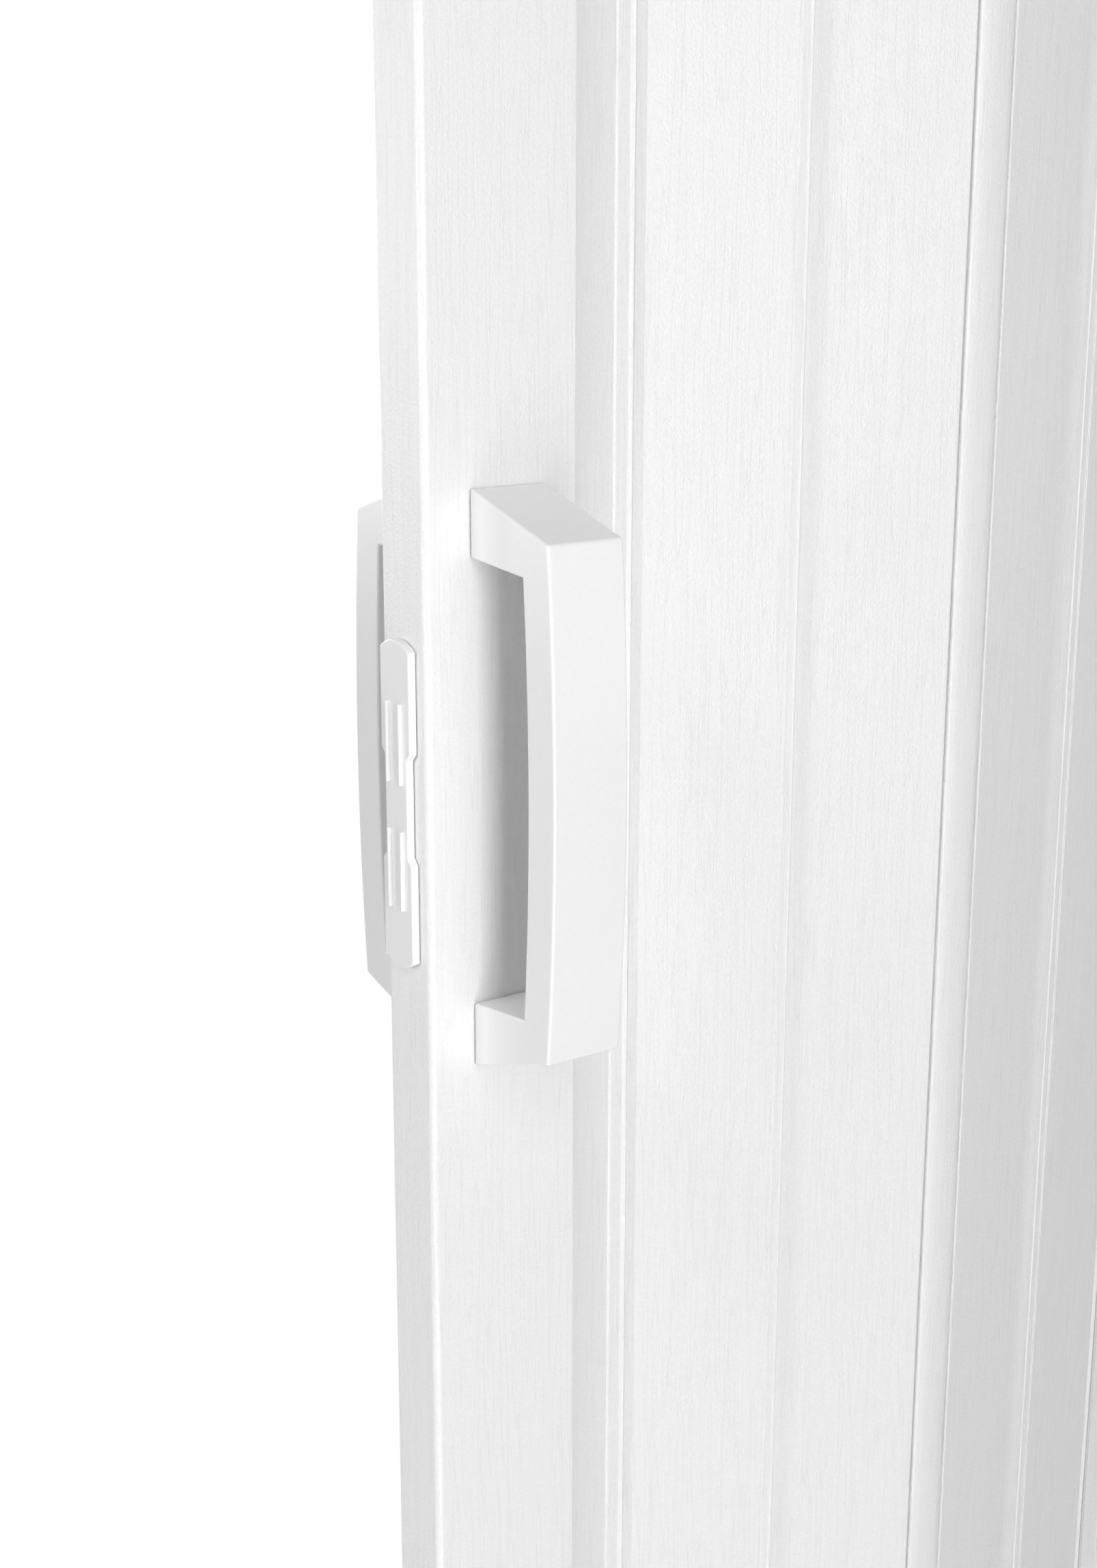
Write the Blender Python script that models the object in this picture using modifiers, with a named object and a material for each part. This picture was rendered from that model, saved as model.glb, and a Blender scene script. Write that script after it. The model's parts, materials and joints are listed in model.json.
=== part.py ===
"""White PVC accordion folding door, hung from a top track, with bow handles on its lead post.

Frame: metres, +X along the track towards the wall side, -Y the front, +Z up.
The origin is the centre of the track's top face, where it is screwed to the lintel.
The door is modelled nearly closed: each panel stands at fold_rest to the track.
"""

import bmesh
import bpy
from math import acos, asin, atan2, cos, degrees, hypot, pi, radians, sin
from mathutils import Matrix, Vector

# Overall sizes
door_height = 2.030        # underside of the lintel to the floor
doorway_width = 0.610
leaf_top = -0.031          # top of the leaves, below the origin
floor_clearance = 0.010    # leaves to the floor
panel_count = 4
fold_rest = radians(13.0)  # angle between a panel and the track as modelled
closing_gap = 0.0003       # from the latch plate's ribs to the jamb when closed
gap = 0.0003               # clearance between pieces that touch
small_gap = 0.0002         # running and press-in clearance round pins and beads

# Hinges: a round bead on each panel edge turns in a socket of the next profile
bead_radius = 0.0019
neck_half = 0.0006
profile_half = 0.0035      # socket centre to either face of a hinge strip
fold_open = radians(80.0)
fold_closed = radians(5.0)
port_radius = 0.0013       # hole for the pins in the middle of a hinge strip

# Panels
panel_end = 0.0052         # bead centre to the edge of the panel's body, on the side that closes up when folded
panel_lap = 0.0036         # the same on the side that closes up when the door is drawn
panel_edge_radius = 0.0006
panel_edge_half = 0.0033   # half thickness at the edges
panel_middle_half = 0.0041  # half thickness of the raised half, at the middle
panel_low_half = 0.0025    # half thickness of the lower half, where the relief ends
panel_wall = 0.0012
panel_rib_pitch = 0.0210
line_groove_width = 0.0007
line_groove_depth = 0.0004
relief_lip = 0.0040        # lip between the line groove and the middle
relief_lip_radius = 0.0006
relief_step = 0.0004       # run of the small step that ends the lip
relief_step_depth = 0.0003
relief_run = 0.0092        # run of the ogee down to the lower half
relief_offset = 0.0008     # from the panel's middle to the lip's end

# Hinge strips between panels
strip_pivots = 0.0088      # between the two socket centres
strip_width = 0.0152
strip_chamfer_run = 0.0033
strip_chamfer_depth = 0.0007
strip_edge_radius = 0.0008
foot_thickness = 0.0020

# Lead post
post_width = 0.053
post_depth = 0.024
post_wall = 0.0020
post_edge_radius = 0.0022
post_inner_edge_radius = 0.0005
tail_length = 0.0257       # side of the post to its socket centre
tail_band = 0.0050         # flat band beside the socket
tail_root_half = 0.0085    # half thickness of the tail where it leaves the post
tail_crease = radians(9.0)  # slope of the tail's hollow where it meets the flat band
tail_chamber_margin = 0.0020
tail_chamber_root_half = 0.0045
tail_chamber_end_half = 0.0020
cap_flange = 0.0024
cap_depth = 0.016

# Wall profile
wall_pivot = 0.014         # socket centre to the wall
wall_width = 0.036
wall_base = 0.0022
wall_root_half = 0.0075
wall_cove_run = 0.0090
wall_lip = 0.0045
wall_lip_thickness = 0.0015
wall_hole_radius = 0.00225
wall_hole_offset = 0.0128
wall_hole_count = 4
wall_hole_margin = 0.130

# Top track
track_width = 0.036
track_height = 0.028
track_wall = 0.0018
track_slot = 0.013
track_hole_radius = 0.00225
track_hole_count = 3
track_hole_margin = 0.060
track_cap_plate = 0.0020
track_cap_plug = 0.0050

# Gliders
glider_width = 0.027
glider_head = 0.0075
glider_neck = 0.0110
glider_edge = 0.0008
glider_relief = 0.0004     # the head's underside rises this much towards the neck
post_glider_length = 0.018
strip_glider_length = 0.016
post_glider_margin = 0.015  # post side to the nearer glider
hanger_radius = 0.0023
hanger_head_radius = 0.0042
hanger_head = 0.0030
hanger_length = 0.027
pin_radius = 0.0011
pin_head_radius = 0.0026
pin_head = 0.0016
pin_depth = 0.024
foot_pin_length = 0.014

# Handles, one on each face of the post
handle_height = 0.175      # at the foot
handle_slope = 0.0119      # each end slopes in by this much from its foot to its front
leg_foot = 0.0199          # height of a leg at its foot
leg_front = 0.0105         # height of a leg where it meets the grip
handle_width = 0.026
handle_reach = 0.0381      # at the ends of the grip
handle_bow = 0.0032        # how far the grip bows out at its middle
grip_thickness = 0.0122
handle_offset = 0.0282     # closing edge of the post to the handle's middle
handle_centre = -1.010     # middle height, below the origin
handle_edge_radius = 0.0007
screw_inset = 0.0160       # end of the handle's foot to the screw
screw_radius = 0.0016
screw_head_radius = 0.0026
screw_head = 0.0022
screw_recess = 0.0240
insert_radius = 0.0025
insert_length = 0.0100
insert_margin = 0.0010
screw_plug = 0.0030

# Latch plate on the closing edge
plate_height = 0.0942      # straight side
plate_width = 0.0156
plate_thickness = 0.0024
plate_rise = 0.0028        # of the arched ends
plate_waist = 0.0316
plate_waist_inset = 0.0019
plate_waist_slope = 0.0022
plate_drop = 0.0062        # below the middle of the handle
plate_shift = 0.0012       # towards the rear
rib_gap = 0.0140           # between the upper and lower ribs
rib_length = 0.0245
rib_width = 0.0010
rib_height = 0.0012
rib_spacing = 0.0069
clip_spacing = 0.056
clip_height = 0.0080
clip_width = 0.0060
clip_hook = 0.0010
clip_hook_run = 0.0030

screw_spacing = handle_height - 2 * screw_inset
closed_latch = plate_thickness + gap + rib_height + closing_gap
closed_panels = doorway_width - wall_pivot - tail_length - post_width - closed_latch
closed_panels -= (panel_count - 1) * strip_pivots
panel_pitch = closed_panels / (panel_count * cos(fold_closed))  # bead centre to bead centre
socket_radius = bead_radius + small_gap
neck_side = neck_half + small_gap
strip_overhang = (strip_width - strip_pivots) / 2
leaf_bottom = -door_height + floor_clearance
panel_fold_run = panel_pitch * cos(fold_rest)
panel_fold_depth = panel_pitch * sin(fold_rest)
wall_face = doorway_width / 2
track_end = wall_face - track_cap_plate - gap
wall_axis = wall_face - wall_pivot
post_axis = wall_axis - panel_count * panel_fold_run - (panel_count - 1) * strip_pivots
post_side = post_axis - tail_length
post_edge = post_side - post_width

# local x, y and z of an outline set along world Y, Z and X
ACROSS = (pi / 2, 0, pi / 2)


def clear_scene():
    for item in list(bpy.data.objects):
        bpy.data.objects.remove(item, do_unlink=True)


def new_collection(name):
    collection = bpy.data.collections.new(name)
    bpy.context.scene.collection.children.link(collection)
    return collection


clear_scene()
door = new_collection("folding_door")
cutters = new_collection("cutters")


def material(name, colour, roughness, metallic=0.0):
    made = bpy.data.materials.new(name)
    made.use_nodes = True
    shader = made.node_tree.nodes["Principled BSDF"]
    shader.inputs["Base Color"].default_value = (*colour, 1.0)
    shader.inputs["Roughness"].default_value = roughness
    shader.inputs["Metallic"].default_value = metallic
    return made


embossed_pvc = material("embossed_white_pvc", (0.86, 0.86, 0.86), 0.45)
gloss_plastic = material("gloss_white_plastic", (0.86, 0.86, 0.86), 0.22)
track_enamel = material("white_enamelled_track", (0.82, 0.82, 0.82), 0.35)
nylon = material("natural_nylon", (0.74, 0.73, 0.69), 0.5)
zinc_steel = material("zinc_plated_steel", (0.62, 0.63, 0.65), 0.32, 1.0)
brass = material("turned_brass", (0.72, 0.55, 0.27), 0.3, 1.0)


def arc(centre, radius, start, end, steps):
    """Points from angle start to angle end, in degrees, both included."""
    points = []
    for step in range(steps + 1):
        angle = radians(start + (end - start) * step / steps)
        points.append((centre[0] + radius * cos(angle), centre[1] + radius * sin(angle)))
    return points


def rounded_rectangle(width, height, radius, steps=3, centre=(0.0, 0.0)):
    points = []
    corners = ((1, -1, 270), (1, 1, 0), (-1, 1, 90), (-1, -1, 180))
    for side_x, side_y, start in corners:
        corner_x = centre[0] + side_x * (width / 2 - radius)
        corner_y = centre[1] + side_y * (height / 2 - radius)
        points += arc((corner_x, corner_y), radius, start, start + 90, steps)
    return points


def mirrored_y(points):
    return [(x, -y) for x, y in reversed(points)]


def mirrored_x(points):
    return [(-x, y) for x, y in reversed(points)]


def moved(points, dx, dy=0.0):
    return [(x + dx, y + dy) for x, y in points]


def add_object(name, mesh, finish, parent=None, collection=None):
    item = bpy.data.objects.new(name, mesh)
    (collection or door).objects.link(item)
    if finish:
        mesh.materials.append(finish)
    if parent:
        item.parent = parent
    return item


def extrusion(name, outline, holes, low, high, finish, parent=None, collection=None):
    """A flat outline with holes, run along local Z from low to high."""
    curve = bpy.data.curves.new(name, "CURVE")
    curve.dimensions = "2D"
    curve.fill_mode = "BOTH"
    curve.extrude = (high - low) / 2
    for loop in [outline] + list(holes):
        spline = curve.splines.new("POLY")
        spline.points.add(len(loop) - 1)
        for point, (x, y) in zip(spline.points, loop):
            point.co = (x, y, 0.0, 1.0)
        spline.use_cyclic_u = True
    guide = bpy.data.objects.new(name + "_outline", curve)
    bpy.context.scene.collection.objects.link(guide)
    bpy.context.view_layer.update()
    graph = bpy.context.evaluated_depsgraph_get()
    mesh = bpy.data.meshes.new_from_object(guide.evaluated_get(graph))
    bpy.data.objects.remove(guide, do_unlink=True)
    work = bmesh.new()
    work.from_mesh(mesh)
    bmesh.ops.remove_doubles(work, verts=work.verts, dist=0.000001)
    bmesh.ops.translate(work, verts=work.verts, vec=(0, 0, (low + high) / 2))
    bmesh.ops.recalc_face_normals(work, faces=work.faces)
    work.to_mesh(mesh)
    work.free()
    mesh.name = name
    return add_object(name, mesh, finish, parent, collection)


def box(name, low, high, finish=None, parent=None, collection=None):
    work = bmesh.new()
    bmesh.ops.create_cube(work, size=1.0)
    size = [b - a for a, b in zip(low, high)]
    middle = [(a + b) / 2 for a, b in zip(low, high)]
    bmesh.ops.scale(work, vec=size, verts=work.verts)
    bmesh.ops.translate(work, vec=middle, verts=work.verts)
    mesh = bpy.data.meshes.new(name)
    work.to_mesh(mesh)
    work.free()
    return add_object(name, mesh, finish, parent, collection)


def turned(name, profile, finish, steps=16, parent=None, collection=None):
    """A profile of (radius, height) points, top to bottom, turned about local Z."""
    work = bmesh.new()
    points = [work.verts.new((radius, 0.0, height)) for radius, height in profile]
    for first, second in zip(points, points[1:]):
        work.edges.new((first, second))
    mesh = bpy.data.meshes.new(name)
    work.to_mesh(mesh)
    work.free()
    item = add_object(name, mesh, finish, parent, collection)
    screw = item.modifiers.new("turn", "SCREW")
    screw.steps = steps
    screw.render_steps = steps
    screw.use_merge_vertices = True
    screw.merge_threshold = 0.00001
    return item


def as_cutter(item):
    item.hide_render = True
    item.display_type = "WIRE"
    return item


def round_cutter(name, radius, low, high, parent=None, steps=16):
    profile = [(0.0, high), (radius, high), (radius, low), (0.0, low)]
    return as_cutter(turned(name, profile, None, steps, parent, cutters))


def stepped_cutter(name, radius, low, head_radius, seat, high, parent):
    """A hole from low to high that widens to head_radius above the seat."""
    profile = [(0.0, high), (head_radius, high), (head_radius, seat), (radius, seat), (radius, low), (0.0, low)]
    return as_cutter(turned(name, profile, None, 16, parent, cutters))


def join(item, other, operation, solver="EXACT"):
    step = item.modifiers.new(operation.lower(), "BOOLEAN")
    step.operation = operation
    step.solver = solver
    step.object = other


def pivot(name, location, angle=0.0, parent=None):
    """An empty on a joint's axis, given in world coordinates at rest."""
    empty = bpy.data.objects.new(name, None)
    empty.empty_display_size = 0.02
    door.objects.link(empty)
    place = Matrix.Translation(Vector(location)) @ Matrix.Rotation(angle, 4, "Z")
    if parent:
        bpy.context.view_layer.update()
        empty.parent = parent
        empty.matrix_basis = parent.matrix_world.inverted() @ place
    else:
        empty.matrix_basis = place
    bpy.context.view_layer.update()
    return empty


def socket_points():
    """Inside of a socket at the origin that opens to +X and +Y, from its near to its far rim.

    Both rims are cut along the sides of a panel's neck, closed and folded.
    """
    clearance = asin(neck_side / socket_radius)
    near = fold_closed - clearance
    far = fold_open + clearance
    inside = arc((0.0, 0.0), socket_radius, degrees(near), degrees(far) - 360, 16)
    reach = (profile_half - neck_side * cos(fold_open)) / sin(fold_open)
    far_rim = (reach * cos(fold_open) - neck_side * sin(fold_open), profile_half)
    length = (strip_overhang - neck_side * sin(fold_closed)) / cos(fold_closed)
    near_rim = (strip_overhang, length * sin(fold_closed) - neck_side * cos(fold_closed))
    return [near_rim] + inside + [far_rim]


def strip_edge():
    """Plain face of a hinge strip and its rounded edge, its socket centre at the origin."""
    corner = strip_chamfer_depth + strip_edge_radius - profile_half
    rounding = arc((strip_overhang - strip_edge_radius, corner), strip_edge_radius, 270, 360, 3)
    return [(strip_overhang - strip_chamfer_run, -profile_half)] + rounding


def strip_outline():
    """A hinge strip whose plain face is towards -Y and whose sockets open outwards and to +Y."""
    right = moved(strip_edge() + socket_points(), strip_pivots / 2)
    return right + mirrored_x(right)


def panel_half_outline():
    """Front of a panel from its left body edge round the right bead, left bead at the origin."""
    points = [(panel_end, -neck_half)]
    corner = (panel_end + panel_edge_radius, -panel_edge_half + panel_edge_radius)
    points += arc(corner, panel_edge_radius, 180, 270, 3)
    middle = panel_pitch / 2 - relief_offset
    groove = middle - relief_lip
    lip = panel_middle_half
    points += [(groove - line_groove_width / 2, -lip), (groove, -lip + line_groove_depth)]
    points += [(groove + line_groove_width / 2, -lip + 0.0001)]
    points += arc((middle - relief_lip_radius, -lip + relief_lip_radius), relief_lip_radius, 270, 310, 2)
    drop = lip - relief_step_depth - panel_low_half
    points += ogee(middle + relief_step, -lip + relief_step_depth, relief_run, drop)
    far_edge = panel_pitch - panel_lap
    corner = (far_edge - panel_edge_radius, -panel_edge_half + panel_edge_radius)
    points += arc(corner, panel_edge_radius, 270, 360, 3)
    points += [(far_edge, -neck_half)]
    start = 180 + degrees(asin(neck_half / bead_radius))
    points += arc((panel_pitch, 0.0), bead_radius, start, 720 - start, 14)
    return points


def ogee(x, y, run, drop, steps=10):
    """An S-shaped curve from (x, y) to (x + run, y + drop), level at both ends."""
    points = []
    for step in range(steps + 1):
        share = step / steps
        rise = share**3 * (10 - 15 * share + 6 * share**2)
        points.append((x + run * share, y + drop * rise))
    return points


def panel_outline():
    front = panel_half_outline()
    rear = [(panel_pitch - x, -y) for x, y in front]
    return front + rear


def panel_chambers():
    """Hollow cells between the two faces, set to either side of the middle relief."""
    low = panel_low_half - panel_wall
    edge = panel_edge_half - panel_wall
    cells = []
    start = panel_end + 2 * panel_wall
    stop = panel_pitch / 2 - relief_lip - panel_rib_pitch / 4
    width = (stop - start) / 2
    for number in range(2):
        left = start + number * width
        right = left + width - panel_wall
        cells.append([(left, -edge), (right, -edge), (right, low), (left, low)])
    mirrored = [[(panel_pitch - x, -y) for x, y in cell] for cell in cells]
    middle = panel_pitch - 2 * stop - 2 * panel_wall
    core = rounded_rectangle(middle, 2 * (low - 0.0002), 0.0004, 1, (panel_pitch / 2, 0.0))
    return cells + mirrored + [core]


def panel(number, parent):
    """One panel; its frame has the wall-side bead at the origin. Every second one hangs upside down."""
    outline = moved(panel_outline(), -panel_pitch)
    chambers = [moved(cell, -panel_pitch) for cell in panel_chambers()]
    if number % 2 == 0:
        outline = mirrored_y(outline)
        chambers = [mirrored_y(cell) for cell in chambers]
    return extrusion(f"panel_{number}", outline, chambers, leaf_bottom, leaf_top, embossed_pvc, parent)


def hinge_strip(number, parent, opens_to_front):
    """A strip between panel number and the next; its frame has the wall-side socket at the origin."""
    outline = strip_outline()
    if opens_to_front:
        outline = [(-x, -y) for x, y in outline]
    port = arc((0.0, 0.0), port_radius, 0, 330, 11)
    middle = -strip_pivots / 2
    loops = [moved(outline, middle), moved(port, middle)]
    name = f"hinge_strip_{number}"
    strip = extrusion(name, loops[0], [loops[1]], leaf_bottom, leaf_top, embossed_pvc, parent)
    foot(number, parent, middle)
    return strip


def foot(number, parent, middle):
    """A stop under a strip, which carries the beads of both panels, with a pin up its port."""
    top = leaf_bottom - gap
    plate = rounded_rectangle(strip_width, 2 * profile_half, 0.0025, 3, (middle, 0.0))
    item = extrusion(f"hinge_foot_{number}", plate, [], top - foot_thickness, top, nylon, parent)
    pin = round_cutter(f"foot_pin_{number}", pin_radius, top - foot_thickness / 2, top + foot_pin_length, parent, 10)
    pin.location.x = middle
    join(item, pin, "UNION")


def flared_cove(root_x, root_half, end_x, end_half, slope, steps=7):
    """Front of a tail that narrows from its root to its socket on a hollow arc, root first.

    The arc arrives at its end with the given slope.
    """
    run = end_x - root_x
    drop = root_half - end_half
    turn = atan2(drop, run) - slope
    radius = hypot(run, drop) / (2 * sin(turn))
    centre = (end_x + radius * sin(slope), -end_half - radius * cos(slope))
    return arc(centre, radius, 90 + degrees(slope + 2 * turn), 90 + degrees(slope), steps)


def tail_cove():
    """Front of the post's tail, from its root at x = 0 to the flat band beside the socket."""
    return flared_cove(0.0, tail_root_half, tail_length - tail_band, profile_half, tail_crease)


def tail_outline():
    """The tail right of x = 0, from its front root to its rear root."""
    socket = moved(mirrored_y(strip_edge() + socket_points()), tail_length)
    return tail_cove() + socket + mirrored_y(tail_cove())


def post_front():
    """Front of the post's box, closing face at x = 0, round both corners."""
    depth = post_depth / 2
    front = arc((post_edge_radius, -depth + post_edge_radius), post_edge_radius, 180, 270, 5)
    inner_corner = (post_width - post_inner_edge_radius, -depth + post_inner_edge_radius)
    return front + arc(inner_corner, post_inner_edge_radius, 270, 360, 3)


def post_outline():
    """Section of the lead post, closing face at x = 0 and front at -Y."""
    return post_front() + moved(tail_outline(), post_width) + mirrored_y(post_front())


def tail_chamber():
    """The hollow inside the tail."""
    start = tail_chamber_margin
    end = tail_length - tail_band - tail_chamber_margin
    wide = tail_chamber_root_half
    narrow = tail_chamber_end_half
    return [(start, -wide), (end, -narrow), (end, narrow), (start, wide)]


def lead_post(parent):
    base = -post_width - tail_length
    outline = moved(post_outline(), base)
    width = post_width - 2 * post_wall
    depth = post_depth - 2 * post_wall
    inner = rounded_rectangle(width, depth, 0.0010, 2, (post_width / 2, 0.0))
    holes = [moved(inner, base), moved(tail_chamber(), base + post_width)]
    top = leaf_top - cap_flange - gap
    post = extrusion("lead_post", outline, holes, leaf_bottom, top, embossed_pvc, parent)
    for side in (-1, 1):
        reach = post_depth
        hole = round_cutter(f"post_screw_hole_{side}", screw_radius + gap, -reach, reach, parent)
        hole.rotation_euler.x = pi / 2
        hole.location = (base + handle_offset, 0, handle_centre + side * screw_spacing / 2)
        join(post, hole, "DIFFERENCE", "MANIFOLD")
        slot = clip_box(f"post_clip_slot_{side}", base, side, gap, cutters, parent)
        join(post, as_cutter(slot), "DIFFERENCE", "MANIFOLD")
    return post


def clip_box(name, base, side, grow, collection, parent):
    """The stem of one latch plate clip, or with grow the slot that it goes through."""
    height = clip_height / 2 + grow
    width = clip_width / 2 + grow
    middle = handle_centre - plate_drop + side * clip_spacing / 2
    out = base - (plate_thickness / 2 if not grow else post_wall)
    into = base + post_wall + clip_hook_run + gap
    low = (out, plate_shift - width, middle - height)
    high = (into, plate_shift + width, middle + height)
    return box(name, low, high, None, parent, collection)


def post_caps(parent):
    """Top and bottom caps; the bottom one reaches under the bead of the first panel."""
    base = -post_width - tail_length
    depth = post_depth - 2 * post_wall - 2 * gap
    width = post_width - 2 * post_wall - 2 * gap
    plug = rounded_rectangle(width, depth, 0.0010, 2, (post_width / 2 + base, 0.0))
    shape = moved(post_front() + moved(tail_cove(), post_width), base)
    top_shape = shape + mirrored_y(shape)
    top = extrusion("post_top_cap", top_shape, [], leaf_top - cap_flange, leaf_top, gloss_plastic, parent)
    plug_top = leaf_top - cap_flange / 2
    top_plug = extrusion("top_plug", plug, [], plug_top - cap_depth, plug_top, None, parent, cutters)
    join(top, as_cutter(top_plug), "UNION")
    for number, place in enumerate(post_glider_places()):
        hole = round_cutter(f"hanger_hole_{number + 1}", hanger_radius + gap, -0.05, 0.05, parent)
        hole.location = (place + base, 0, leaf_top)
        join(top, hole, "DIFFERENCE")
    shape += arc((0.0, 0.0), profile_half, -90, 0, 4)
    low_shape = shape + mirrored_y(shape)[1:]
    low_top = leaf_bottom - gap
    low = extrusion("post_bottom_cap", low_shape, [], low_top - cap_flange, low_top, gloss_plastic, parent)
    plug_low = low_top - cap_flange / 2
    low_plug = extrusion("bottom_plug", plug, [], plug_low, plug_low + cap_depth, None, parent, cutters)
    join(low, as_cutter(low_plug), "UNION")


def post_glider_places():
    """Places of the two post gliders, from the closing face of the post."""
    return (post_glider_margin, post_width - post_glider_margin)


def glider(name, length, parent, x, screw_hole, head_hole, head_height):
    """A T-shaped slider: its head rides on the track's lips and its neck passes the slot."""
    lip_top = -track_height + track_wall
    head_low = lip_top + gap
    head_high = head_low + glider_head
    neck_low = leaf_top + gap
    half = glider_width / 2
    neck = glider_neck / 2
    edge = glider_edge
    right = [(neck, neck_low), (neck, head_low + glider_relief), (half, head_low)]
    right += [(half, head_high - edge), (half - edge, head_high)]
    item = extrusion(name, right + mirrored_x(right), [], -length / 2, length / 2, nylon, parent)
    item.rotation_euler = ACROSS
    item.location.x = x
    seat = head_high - head_height
    hole = stepped_cutter(name + "_hole", screw_hole, neck_low - 0.01, head_hole, seat, head_high + 0.01, parent)
    hole.location.x = x
    join(item, hole, "DIFFERENCE")
    return head_high


def post_gliders(parent):
    base = -post_width - tail_length
    recess = hanger_head + 0.0008
    for number, place in enumerate(post_glider_places()):
        x = base + place
        name = f"post_glider_{number + 1}"
        top = glider(name, post_glider_length, parent, x, hanger_radius + gap, hanger_head_radius + gap, recess)
        seat = top - recess + gap
        end = seat - hanger_length
        profile = [(0.0, seat + hanger_head), (hanger_head_radius - 0.0006, seat + hanger_head)]
        profile += [(hanger_head_radius, seat + hanger_head - 0.0007), (hanger_head_radius, seat)]
        profile += [(hanger_radius, seat), (hanger_radius, end + 0.0015), (0.0, end)]
        screw = turned(f"hanger_screw_{number + 1}", profile, zinc_steel, 16, parent)
        screw.location.x = x


def strip_glider(number, parent):
    middle = -strip_pivots / 2
    recess = pin_head + 0.0008
    name = f"strip_glider_{number}"
    top = glider(name, strip_glider_length, parent, middle, pin_radius + small_gap, pin_head_radius + gap, recess)
    seat = top - recess + gap
    end = leaf_top - pin_depth
    profile = [(0.0, seat + pin_head), (pin_head_radius, seat + pin_head), (pin_head_radius, seat)]
    profile += [(pin_radius, seat), (pin_radius, end + 0.0006), (0.0, end)]
    pin = turned(f"hanger_pin_{number}", profile, zinc_steel, 12, parent)
    pin.location.x = middle


def handle_outline():
    """Side view of a handle: x is the distance out from the post, y the height."""
    foot_half = handle_height / 2
    front_half = foot_half - handle_slope
    hole_foot = foot_half - leg_foot
    hole_front = front_half - leg_front
    inner = handle_reach - grip_thickness
    outer_bow = bow_points(handle_reach, front_half, handle_bow, 12)
    inner_bow = bow_points(inner, hole_front, handle_bow * (hole_front / front_half) ** 2, 10)
    outline = [(0.0, -foot_half)] + outer_bow + [(0.0, foot_half), (0.0, hole_foot)]
    return outline + inner_bow[::-1] + [(0.0, -hole_foot)]


def bow_points(reach, half, rise, steps):
    """A bowed face from -half to +half that stands rise further out at its middle."""
    radius = (half * half + rise * rise) / (2 * rise)
    sweep = degrees(asin(half / radius))
    return arc((reach + rise - radius, 0.0), radius, -sweep, sweep, steps)


def handle(name, parent, side):
    """A moulded bow handle; side is -1 on the front of the post and +1 on its rear."""
    base = -post_width - tail_length + handle_offset
    item = extrusion(name, handle_outline(), [], -handle_width / 2, handle_width / 2, gloss_plastic, parent)
    work = bmesh.new()
    work.from_mesh(item.data)
    turn = Matrix(((0, 0, 1), (1, 0, 0), (0, 1, 0)))
    bmesh.ops.transform(work, matrix=turn.to_4x4(), verts=work.verts)
    if side < 0:
        bmesh.ops.rotate(work, matrix=Matrix.Rotation(pi, 3, "Z"), verts=work.verts)
    bmesh.ops.dissolve_limit(work, angle_limit=0.001, verts=work.verts, edges=work.edges)
    bmesh.ops.recalc_face_normals(work, faces=work.faces)
    work.to_mesh(item.data)
    work.free()
    item.location = (base, side * (post_depth / 2 + gap), handle_centre)
    bevel = item.modifiers.new("moulded_edges", "BEVEL")
    bevel.width = handle_edge_radius
    bevel.segments = 2
    bevel.limit_method = "ANGLE"
    bevel.angle_limit = radians(25)
    for end in (-1, 1):
        height = end * screw_spacing / 2
        if side < 0:
            hole = round_cutter(f"insert_hole_{end}", insert_radius + small_gap, -0.002, insert_depth(), parent)
            hole.rotation_euler.x = pi / 2
            hole.location = (base, -post_depth / 2, handle_centre + height)
            join(item, hole, "DIFFERENCE")
        else:
            screw_hole_in_rear(item, base, height, end, parent)
    return item


def insert_depth():
    """Depth of the blind hole in a front handle leg, from the face of the post."""
    return gap + insert_margin + insert_length + 2 * gap + 0.002


def rear_seat():
    """Distance from the middle of the post to the bottom of the rear handle's screw recess."""
    return post_depth / 2 + gap + handle_reach - screw_recess


def screw_hole_in_rear(item, base, height, end, parent):
    name = f"rear_screw_hole_{end}"
    hole = stepped_cutter(name, screw_radius + gap, 0.0, screw_head_radius + gap, rear_seat(), 0.1, parent)
    hole.rotation_euler.x = -pi / 2
    hole.location = (base, 0, handle_centre + height)
    join(item, hole, "DIFFERENCE")


def handle_fixings(parent):
    """Screws from the rear handle through the post into brass inserts of the front handle."""
    base = -post_width - tail_length + handle_offset
    inner = post_depth / 2 + gap + insert_margin
    for end, place in ((1, "upper"), (-1, "lower")):
        height = handle_centre + end * screw_spacing / 2
        seat = rear_seat() + gap
        tip = -inner - insert_length + 0.001
        profile = [(0.0, seat + screw_head), (screw_head_radius - 0.0005, seat + screw_head)]
        profile += [(screw_head_radius, seat + screw_head - 0.0006), (screw_head_radius, seat)]
        profile += [(screw_radius, seat), (screw_radius, tip + 0.001), (0.0, tip)]
        screw = turned(f"handle_screw_{place}", profile, zinc_steel, 16, parent)
        face = post_depth / 2 + gap + handle_reach
        plug_profile = [(0.0, face - gap), (screw_head_radius, face - gap)]
        plug_profile += [(screw_head_radius, face - gap - screw_plug), (0.0, face - gap - screw_plug)]
        plug = turned(f"screw_cover_{place}", plug_profile, gloss_plastic, 20, parent)
        inside = screw_radius + small_gap
        ring = arc((0.0, 0.0), insert_radius, 0, 337.5, 15)
        bore = arc((0.0, 0.0), inside, 0, 337.5, 15)
        low = -inner - insert_length
        insert = extrusion(f"threaded_insert_{place}", ring, [bore], low, -inner, brass, parent)
        for item in (screw, plug, insert):
            item.rotation_euler.x = -pi / 2
            item.location = (base, 0, height)


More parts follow.
